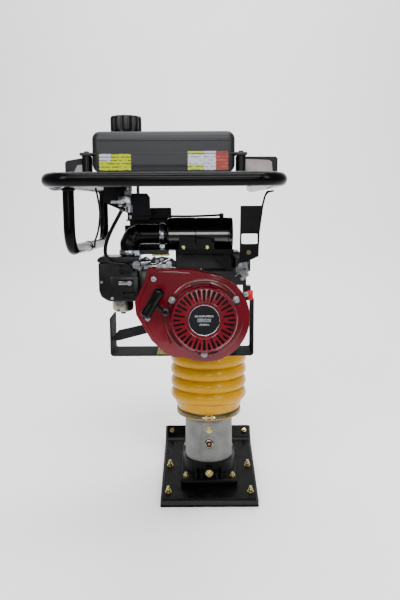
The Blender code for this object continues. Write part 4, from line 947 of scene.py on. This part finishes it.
def makeCarburettor():
    low, high = legBox("carb_cover")
    body = bmesh.new()
    outline = [(low.x + 0.002, high.z - 0.014), (low.x + 0.002, low.z + 0.028),
        (low.x + 0.007, low.z + 0.012), (low.x + 0.022, low.z + 0.002), (low.x + 0.03, low.z),
        (high.x, low.z), (high.x, high.z - 0.014)]
    addPlate(body, outline, -high.y, -low.y - 0.004, facingBack)
    shell = shapePiece("carb_cover_moulded", body, "blackPlastic", "machine", ["carb_cover"])
    softEdges(shell, 0.005, 3, 25)
    bpy.context.view_layer.update()
    cutters = bmesh.new()
    for x0, x1, z0, z1 in ((-0.222, -0.194, 0.632, 0.656), (-0.226, -0.19, 0.604, 0.617),
            (-0.214, -0.186, 0.574, 0.588)):
        addBox(cutters, (x0, low.y - 0.02, z0), (x1, low.y + 0.02, z1))
    cutWith(shell, looseShape(cutters))
    lid = bmesh.new()
    addPlate(lid, [(low.x + 0.006, high.z), (low.x, high.z - 0.006), (low.x, high.z - 0.0135),
        (high.x + 0.001, high.z - 0.0135), (high.x + 0.001, high.z)], -high.y - 0.001, -low.y - 0.0015,
        facingBack)
    softEdges(shapePiece("carb_cover_lid", lid, "blackPlastic", "machine"), 0.003, 3, 25)
    step = bmesh.new()
    addBox(step, (-0.246, low.y + 0.001, low.z + 0.001), (high.x - 0.001, low.y + 0.012, 0.6255))
    relief = shapePiece("carb_cover_step", step, "blackPlastic", "machine")
    softEdges(relief, 0.002, 2, 25)
    bpy.context.view_layer.update()
    cutters = bmesh.new()
    for x0, x1, z0, z1 in ((-0.226, -0.19, 0.604, 0.617), (-0.214, -0.186, 0.574, 0.588)):
        addBox(cutters, (x0, low.y - 0.02, z0), (x1, low.y + 0.03, z1))
    cutWith(relief, looseShape(cutters))
    inside = solidFrom(addBox, (low.x + 0.012, low.y + 0.016, low.z + 0.01),
        (high.x - 0.01, high.y - 0.004, high.z - 0.018))
    shapePiece("carb_inner_body", inside, "engineCasting", "machine", bevel=0.002)
    screw = bmesh.new()
    hexBolt(screw, (-0.2405, low.y + 0.003, 0.572), backward, 0.0042, 0.0034, 0.0056)
    addRod(screw, 0.0032, (-0.2665, low.y + 0.006, 0.612), (-0.2665, low.y + 0.002, 0.612), 20)
    shapePiece("carb_cover_screw", screw, "brightZinc", "machine", bevel=0.0003)
    refine("choke_lever", "brightZinc", 0.0006)
    refine("fuel_lever", "blackPlastic", 0.0008)
    bowlLow, bowlHigh = legBox("float_bowl")
    centre = (bowlLow + bowlHigh) / 2
    r = (bowlHigh.x - bowlLow.x) / 2
    top = bowlHigh.z
    bowl = bmesh.new()
    addTurned(bowl, [(0, top), (r, top), (r, top - 0.003), (r - 0.0018, top - 0.004),
        (r - 0.0018, top - 0.02), (r - 0.004, top - 0.025), (r - 0.01, top - 0.0285), (0.009, top - 0.03),
        (0.0065, top - 0.03), (0.0065, top - 0.035), (0, top - 0.035)],
        Matrix.Translation((centre.x, centre.y, 0)), 72)
    shapePiece("float_bowl_drawn", bowl, "drawnSteel", "machine", ["float_bowl"])


# guard and platform

def makeFrame():
    refine("guard_frame", "guardPowder", 0.0009)
    refine("machine_platform", "satinBlack", 0.0009)
    for side in ("left", "right"):
        refine(side + "_shock_mount", "blackRubber", 0.0015)
    strap = solidFrom(addPlate, [(-0.244, 0.46), (-0.23, 0.46), (-0.145, 0.482), (-0.145, 0.506),
        (-0.23, 0.487), (-0.244, 0.47)], 0.3, 0.3035, facingBack)
    shapePiece("guard_cross_strap", strap, "guardPowder", "machine", bevel=0.0008)
    tab = solidFrom(addPlate, [(-0.133, 0.431), (-0.104, 0.431), (-0.104, 0.462), (-0.126, 0.462)], 0.332,
        0.3345, facingBack)
    shapePiece("engine_base_tab", tab, "yellowZinc", "machine", bevel=0.0006)
    bolts = bmesh.new()
    for x in (-0.11, 0.06):
        hexBolt(bolts, (x, -0.285, 0.4262), (0, 0, -1), 0.0068, 0.005, 0.009)
    shapePiece("guard_bolts", bolts, "yellowZinc", "machine", bevel=0.0004)
    block = bmesh.new()
    addBox(block, (-0.1609, -0.129, 0.7602), (-0.1021, -0.1, 0.7915))
    addBox(block, (-0.195, -0.285, 0.7602), (-0.146, -0.279, 0.7815))
    shapePiece("deck_stop_block", block, "satinBlack", "machine", bevel=0.003)
    ends = bmesh.new()
    addRod(ends, 0.0062, (-0.23, -0.06, 0.79), (-0.2257, -0.06, 0.79), 6)
    addRod(ends, 0.0062, (-0.1693, -0.06, 0.79), (-0.165, -0.06, 0.79), 6)
    shapePiece("mount_bolt_ends", ends, "yellowZinc", "machine", bevel=0.0005)


# handle and tank

handleSettings = {"tube": 0.0135, "corner": 0.05, "gripTube": 0.01225, "gripCorner": 0.05,
    "gripBackLow": 0.705, "gripFrontLow": 0.692, "inside": 0.0003, "cable": 0.0025}


def makeHandle():
    low, high = legBox("handle_loop")
    r = handleSettings["tube"]
    w = (low.z + high.z) / 2
    left, right, back, front = low.x + r, high.x - r, low.y + r, high.y
    route = roundCorner([(left, front, w), (left, back, w), (right, back, w), (right, front, w)],
        handleSettings["corner"], 18)
    loop = solidFrom(addTube, route, r - handleSettings["inside"], 40)
    shapePiece("handle_loop_bent", loop, "blackPowder", "handle", ["handle_loop"], smooth=50)
    plugs = bmesh.new()
    for x in (left, right):
        addTurned(plugs, [(0, 0.0035), (r - 0.004, 0.0035), (r - 0.001, 0.002), (r - 0.0004, 0), (0, 0)],
            Matrix.Translation((x, front, w)) @ Matrix.Rotation(-pi / 2, 4, "X"), 32)
    shapePiece("handle_end_plugs", plugs, "blackRubber", "handle")
    sideLow, sideHigh = legBox("side_handle")
    g = handleSettings["gripTube"]
    x = (sideLow.x + sideHigh.x) / 2
    near, far, top = sideLow.y + g, sideHigh.y - g, w - r + 0.004
    corners = [(x, near, top), (x, near, handleSettings["gripBackLow"]),
        (x, far, handleSettings["gripFrontLow"]), (x, far, top)]
    route = roundCorner(corners, handleSettings["gripCorner"], 16)
    side = solidFrom(addTube, route, g, 36)
    shapePiece("side_handle_bent", side, "blackPowder", "handle", ["side_handle"], smooth=50)
    welds = bmesh.new()
    for v in (sideLow.y + g, sideHigh.y - g):
        addTurned(welds, [(g - 0.001, -0.002), (g + 0.0022, -0.0005), (g + 0.003, 0.0015),
            (g + 0.0018, 0.004), (g - 0.001, 0.0045)], Matrix.Translation((x, v, w - r - 0.002)), 40)
    shapePiece("side_handle_welds", welds, "blackPowder", "handle", smooth=60)
    refine("right_bracket", "platePowder", 0.0009)
    refine("tank_bracket", "guardPowder", 0.0009)
    bolts = bmesh.new()
    hexBolt(bolts, (0.0905, -0.3942, 0.689), backward, 0.0036, 0.003, 0.0055)
    shapePiece("bracket_bolt", bolts, "darkZinc", "handle", bevel=0.0004)
    makeCable(x, sideLow, sideHigh, g)


def makeCable(x, sideLow, sideHigh, g):
    # the throttle cable follows the side handle down to a tie
    cable = bmesh.new()
    route = [(x + 0.022, -0.3, 0.842), (x + 0.027, -0.3, 0.815), (x + 0.0305, -0.3, 0.79),
        (x + 0.03, -0.3, 0.766), (x + 0.025, -0.3, 0.735), (x + 0.0175, -0.302, 0.712),
        (x + 0.0165, -0.304, 0.6965)]
    addTube(cable, smoothRoute(route, 8), handleSettings["cable"], 12)
    shapePiece("throttle_cable", cable, "blackRubber", "handle")
    tie = bmesh.new()
    share = (-0.305 - sideLow.y - g) / (sideHigh.y - sideLow.y - 2 * g)
    backLow, frontLow = handleSettings["gripBackLow"], handleSettings["gripFrontLow"]
    height = backLow + (frontLow - backLow) * share
    addTurned(tie, [(g + 0.0002, -0.002), (g + 0.0014, -0.002), (g + 0.0014, 0.002), (g + 0.0002, 0.002)],
        alongAxis("Y", (x, -0.305, height)), 40)
    addBox(tie, (x + g - 0.001, -0.3085, height - 0.004), (x + g + 0.0065, -0.3015, height + 0.001))
    shapePiece("cable_tie", tie, "blackPlastic", "handle")


tankSettings = {"left": -0.2435, "right": 0.0485, "back": -0.57, "front": -0.355, "bottom": 0.866,
    "top": 0.949, "round": 0.016, "lip": 0.0035}


def makeTank():
    s = tankSettings
    left, right, back, front = s["left"], s["right"], s["back"], s["front"]
    shape = bmesh.new()
    addBox(shape, (left, back, s["bottom"]), (right, front, s["top"]))
    body = shapePiece("fuel_tank_moulded", shape, "tankPlastic", "handle", ["fuel_tank"])
    softEdges(body, s["round"], 6, 30)
    lip = bmesh.new()
    lipLeft, lipRight = left - s["lip"], right + s["lip"]
    outline = [(lipLeft, -front), (lipLeft, -back + 0.0008), (lipRight, -back + 0.0008),
        (lipRight, -front)]
    addPlate(lip, outline, 0.9022, 0.9048, Matrix.Diagonal((1, -1, 1, 1)))
    softEdges(shapePiece("tank_parting_lip", lip, "tankPlastic", "handle"), 0.0012, 2)
    groove = solidFrom(addBox, (left + 0.012, back - 0.0012, 0.9285),
        (right - 0.012, back + 0.002, 0.9315))
    shapePiece("tank_front_crease", groove, "tankPlastic", "handle", bevel=0.001)
    ears = bmesh.new()
    for x in (left - 0.012, right + 0.012):
        addBox(ears, (x - 0.013, back + 0.004, 0.9), (x + 0.013, back + 0.036, 0.9065))
    shapePiece("tank_ears", ears, "tankPlastic", "handle", bevel=0.002)
    bolts = bmesh.new()
    for x in (left - 0.013, right + 0.013):
        addRod(bolts, 0.0062, (x, back + 0.02, 0.9066), (x, back + 0.02, 0.91), 20, 0.0045)
        addRod(bolts, 0.0095, (x, back + 0.02, 0.858), (x, back + 0.02, 0.8998), 28)
    shapePiece("tank_ear_mounts", bolts, "blackRubber", "handle", bevel=0.0008)
    makeCap()
    makeSidePlates()
    makeLabels(back)
    makeTap()


capSettings = {"radius": 0.0335, "lobes": 9, "drop": 0.005, "flute": 0.0048, "topFlute": 0.0015}


def makeCap():
    low, high = legBox("tank_cap")
    centre = (low + high) / 2
    s = capSettings
    low.z -= s["drop"]
    high.z -= s["drop"] * 0.4
    steps = 120
    cap = bmesh.new()
    rings = []
    levels = [(0.86, low.z), (0.93, low.z + 0.001), (0.93, low.z + 0.006), (0.985, low.z + 0.0075),
        (1.0, low.z + 0.01), (1.0, high.z - 0.007), (0.985, high.z - 0.0035), (0.94, high.z - 0.0012),
        (0.86, high.z - 0.0004), (0.74, high.z - 0.0022), (0.7, high.z - 0.005), (0.3, high.z - 0.006)]
    for share, height in levels:
        loop = []
        for i in range(steps):
            angle = 2 * pi * i / steps
            wave = abs(cos(s["lobes"] * angle / 2)) ** 0.6
            depth = 0.0
            if share > 0.95:
                depth = s["flute"]
            elif share > 0.8 and height > low.z + 0.01:
                depth = s["topFlute"]
            radius = s["radius"] * share - depth * (1 - wave)
            loop.append(cap.verts.new((centre.x + radius * cos(angle), centre.y + radius * sin(angle),
                height)))
        rings.append(loop)
    for one, two in zip(rings, rings[1:]):
        for i in range(steps):
            cap.faces.new((one[i], one[(i + 1) % steps], two[(i + 1) % steps], two[i]))
    cap.faces.new(rings[0][::-1])
    cap.faces.new(rings[-1])
    shapePiece("tank_cap_moulded", cap, "blackPlastic", "cap", ["tank_cap"], smooth=40)
    neck = solidFrom(addTurned, [(0.027, low.z - 0.01), (0.031, low.z - 0.006), (0.0285, low.z - 0.0015),
        (0.0275, low.z - 0.0003), (0.0, low.z - 0.0003), (0.0, low.z - 0.01)],
        Matrix.Translation((centre.x, centre.y, 0)), 48)
    shapePiece("tank_neck", neck, "tankPlastic", "handle")


def makeSidePlates():
    # the black plates beside the tank get a pale sheet inside their folded rims: a painted sheen standing
    # in for light reflected off the black steel
    linings = bmesh.new()
    for outline in ([(-0.286, 0.864), (-0.25, 0.864), (-0.25, 0.886), (-0.276, 0.882)],
            [(0.064, 0.864), (0.127, 0.864), (0.1255, 0.8866), (0.1202, 0.8909), (0.064, 0.8935)]):
        addPlate(linings, outline, 0.5471, 0.548, facingBack)
    shapePiece("side_plate_painted_sheen", linings, "paintedSheenLining", "handle")


def makeLabels(back):
    face = back - 0.0003
    sheets = [("label_yellow_left", "yellowLabel", -0.2278, -0.1631, 0.87, 0.9041),
        ("label_white_left", "whiteLabel", -0.2265, -0.204, 0.888, 0.903),
        ("label_yellow_right", "yellowLabel", -0.048, -0.0142, 0.87, 0.9077),
        ("label_white_mid", "whiteLabel", -0.014, 0.0092, 0.87, 0.9077),
        ("label_orange_right", "orangeLabel", 0.0094, 0.0343, 0.87, 0.9077),
        ("label_white_strip", "whiteLabel", -0.047, -0.0152, 0.881, 0.901)]
    for name, look, x0, x1, z0, z1 in sheets:
        lift = 0.0003 if name in ("label_white_left", "label_white_strip") else 0.0
        sheet = bmesh.new()
        addBox(sheet, (x0, face - 0.0003 - lift, z0), (x1, face + 0.0002, z1))
        shapePiece(name, sheet, look, "handle", bevel=0.0001)


hoseRoute = [(-0.2065, -0.352, 0.795), (-0.215, -0.352, 0.779), (-0.224, -0.352, 0.763),
    (-0.233, -0.351, 0.747), (-0.241, -0.35, 0.731), (-0.2475, -0.35, 0.715), (-0.2515, -0.35, 0.699),
    (-0.252, -0.35, 0.685), (-0.247, -0.35, 0.672), (-0.237, -0.35, 0.663), (-0.224, -0.349, 0.6595),
    (-0.211, -0.348, 0.659), (-0.2, -0.346, 0.656), (-0.191, -0.343, 0.649), (-0.184, -0.34, 0.639)]

hoseRadius = 0.0045


def makeTap():
    top = legBox("fuel_tap")[1].z
    refine("fuel_tap", "brightZinc", 0.0012)
    nuts = bmesh.new()
    addRod(nuts, 0.0095, (-0.1965, -0.33, top + 0.0002), (-0.1965, -0.33, top + 0.011), 6)
    addRod(nuts, 0.006, (-0.1965, -0.33, top + 0.011), (-0.1965, -0.33, top + 0.022), 24)
    addRod(nuts, 0.007, (-0.2065, -0.35, 0.796), (-0.204, -0.346, 0.804), 20)
    shapePiece("tap_union_nuts", nuts, "brightZinc", "handle", bevel=0.0004)
    brass = bmesh.new()
    addRod(brass, 0.0052, (-0.1965, -0.33, top + 0.0218), (-0.1965, -0.33, top + 0.03), 24)
    shapePiece("tap_brass_spigot", brass, "brass", "handle", bevel=0.0004)
    refine("tap_lever", "brightZinc", 0.0005)
    refine("throttle_lever", "brightZinc", 0.0006)
    hose = bmesh.new()
    addTube(hose, smoothRoute(hoseRoute, 5), hoseRadius)
    thing = looseShape(hose, "fuel_hose_extruded")
    finishPiece(thing, "blackRubber", None, ["fuel_hose"], 50)
    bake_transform(thing)
    clip = solidFrom(addTurned, [(0.0047, -0.0022), (0.006, -0.0022), (0.006, 0.0022), (0.0047, 0.0022)],
        Matrix.Translation((-0.2105, -0.352, 0.7875)) @ Matrix.Rotation(radians(28), 4, "Y"), 32)
    shapePiece("hose_clip", clip, "steel", "handle")


# stage

floorSettings = {"near": -6.0, "far": 2.4, "bend": 1.6, "high": 7.0, "thick": 0.02, "halfWide": 7}


def makeFloor():
    # a white sweep: flat under the machine, curved up into a wall behind it
    shape = bmesh.new()
    near, far, bend = floorSettings["near"], floorSettings["far"], floorSettings["bend"]
    high, thick = floorSettings["high"], floorSettings["thick"]
    angles = [radians(a) for a in range(6, 91, 6)]
    outline = [(near, 0.0), (far, 0.0)] + [(far + bend * sin(a), bend - bend * cos(a)) for a in angles]
    outline += [(far + bend, high), (far + bend + thick, high), (far + bend + thick, -thick),
        (near, -thick)]
    half = floorSettings["halfWide"]
    sides = [[shape.verts.new((x, y, z)) for y, z in outline] for x in (-half, half)]
    shape.faces.new(sides[0])
    shape.faces.new(sides[1][::-1])
    for i in range(len(outline)):
        j = (i + 1) % len(outline)
        shape.faces.new((sides[0][i], sides[0][j], sides[1][j], sides[1][i]))
    bmesh.ops.recalc_face_normals(shape, faces=shape.faces)
    mesh = bpy.data.meshes.new("floor")
    shape.to_mesh(mesh)
    shape.free()
    mesh.shade_smooth()
    mesh.set_sharp_from_angle(angle=radians(35))
    floor = bpy.data.objects.new("floor", mesh)
    scene.collection.objects.link(floor)
    material, tree, shader, place = newMaterial("paperSweepWhite", {"Specular IOR Level": 0.2})
    cloud = addNode(tree, "ShaderNodeTexNoise", {"Scale": 2.0}, {"Vector": place})
    tintBetween(tree, shader, cloud.outputs["Fac"], "#fafafa", "#fdfdfd")
    roughBetween(tree, shader, cloud.outputs["Fac"], 0.8, 0.9)
    mesh.materials.append(material)


makeLights()
makeFloor()
print("stage ready")
makeFoot()
makeSpringCylinder()
makeBellows()
makeClamps()
print("leg ready")
makeInside()
makeRecoil()
makeGrip()
makeEngine()
print("engine ready")
makeFilter()
makeElbow()
makeCarburettor()
makeFrame()
print("intake and frame ready")
makeHandle()
makeTank()
print("handle and tank ready")
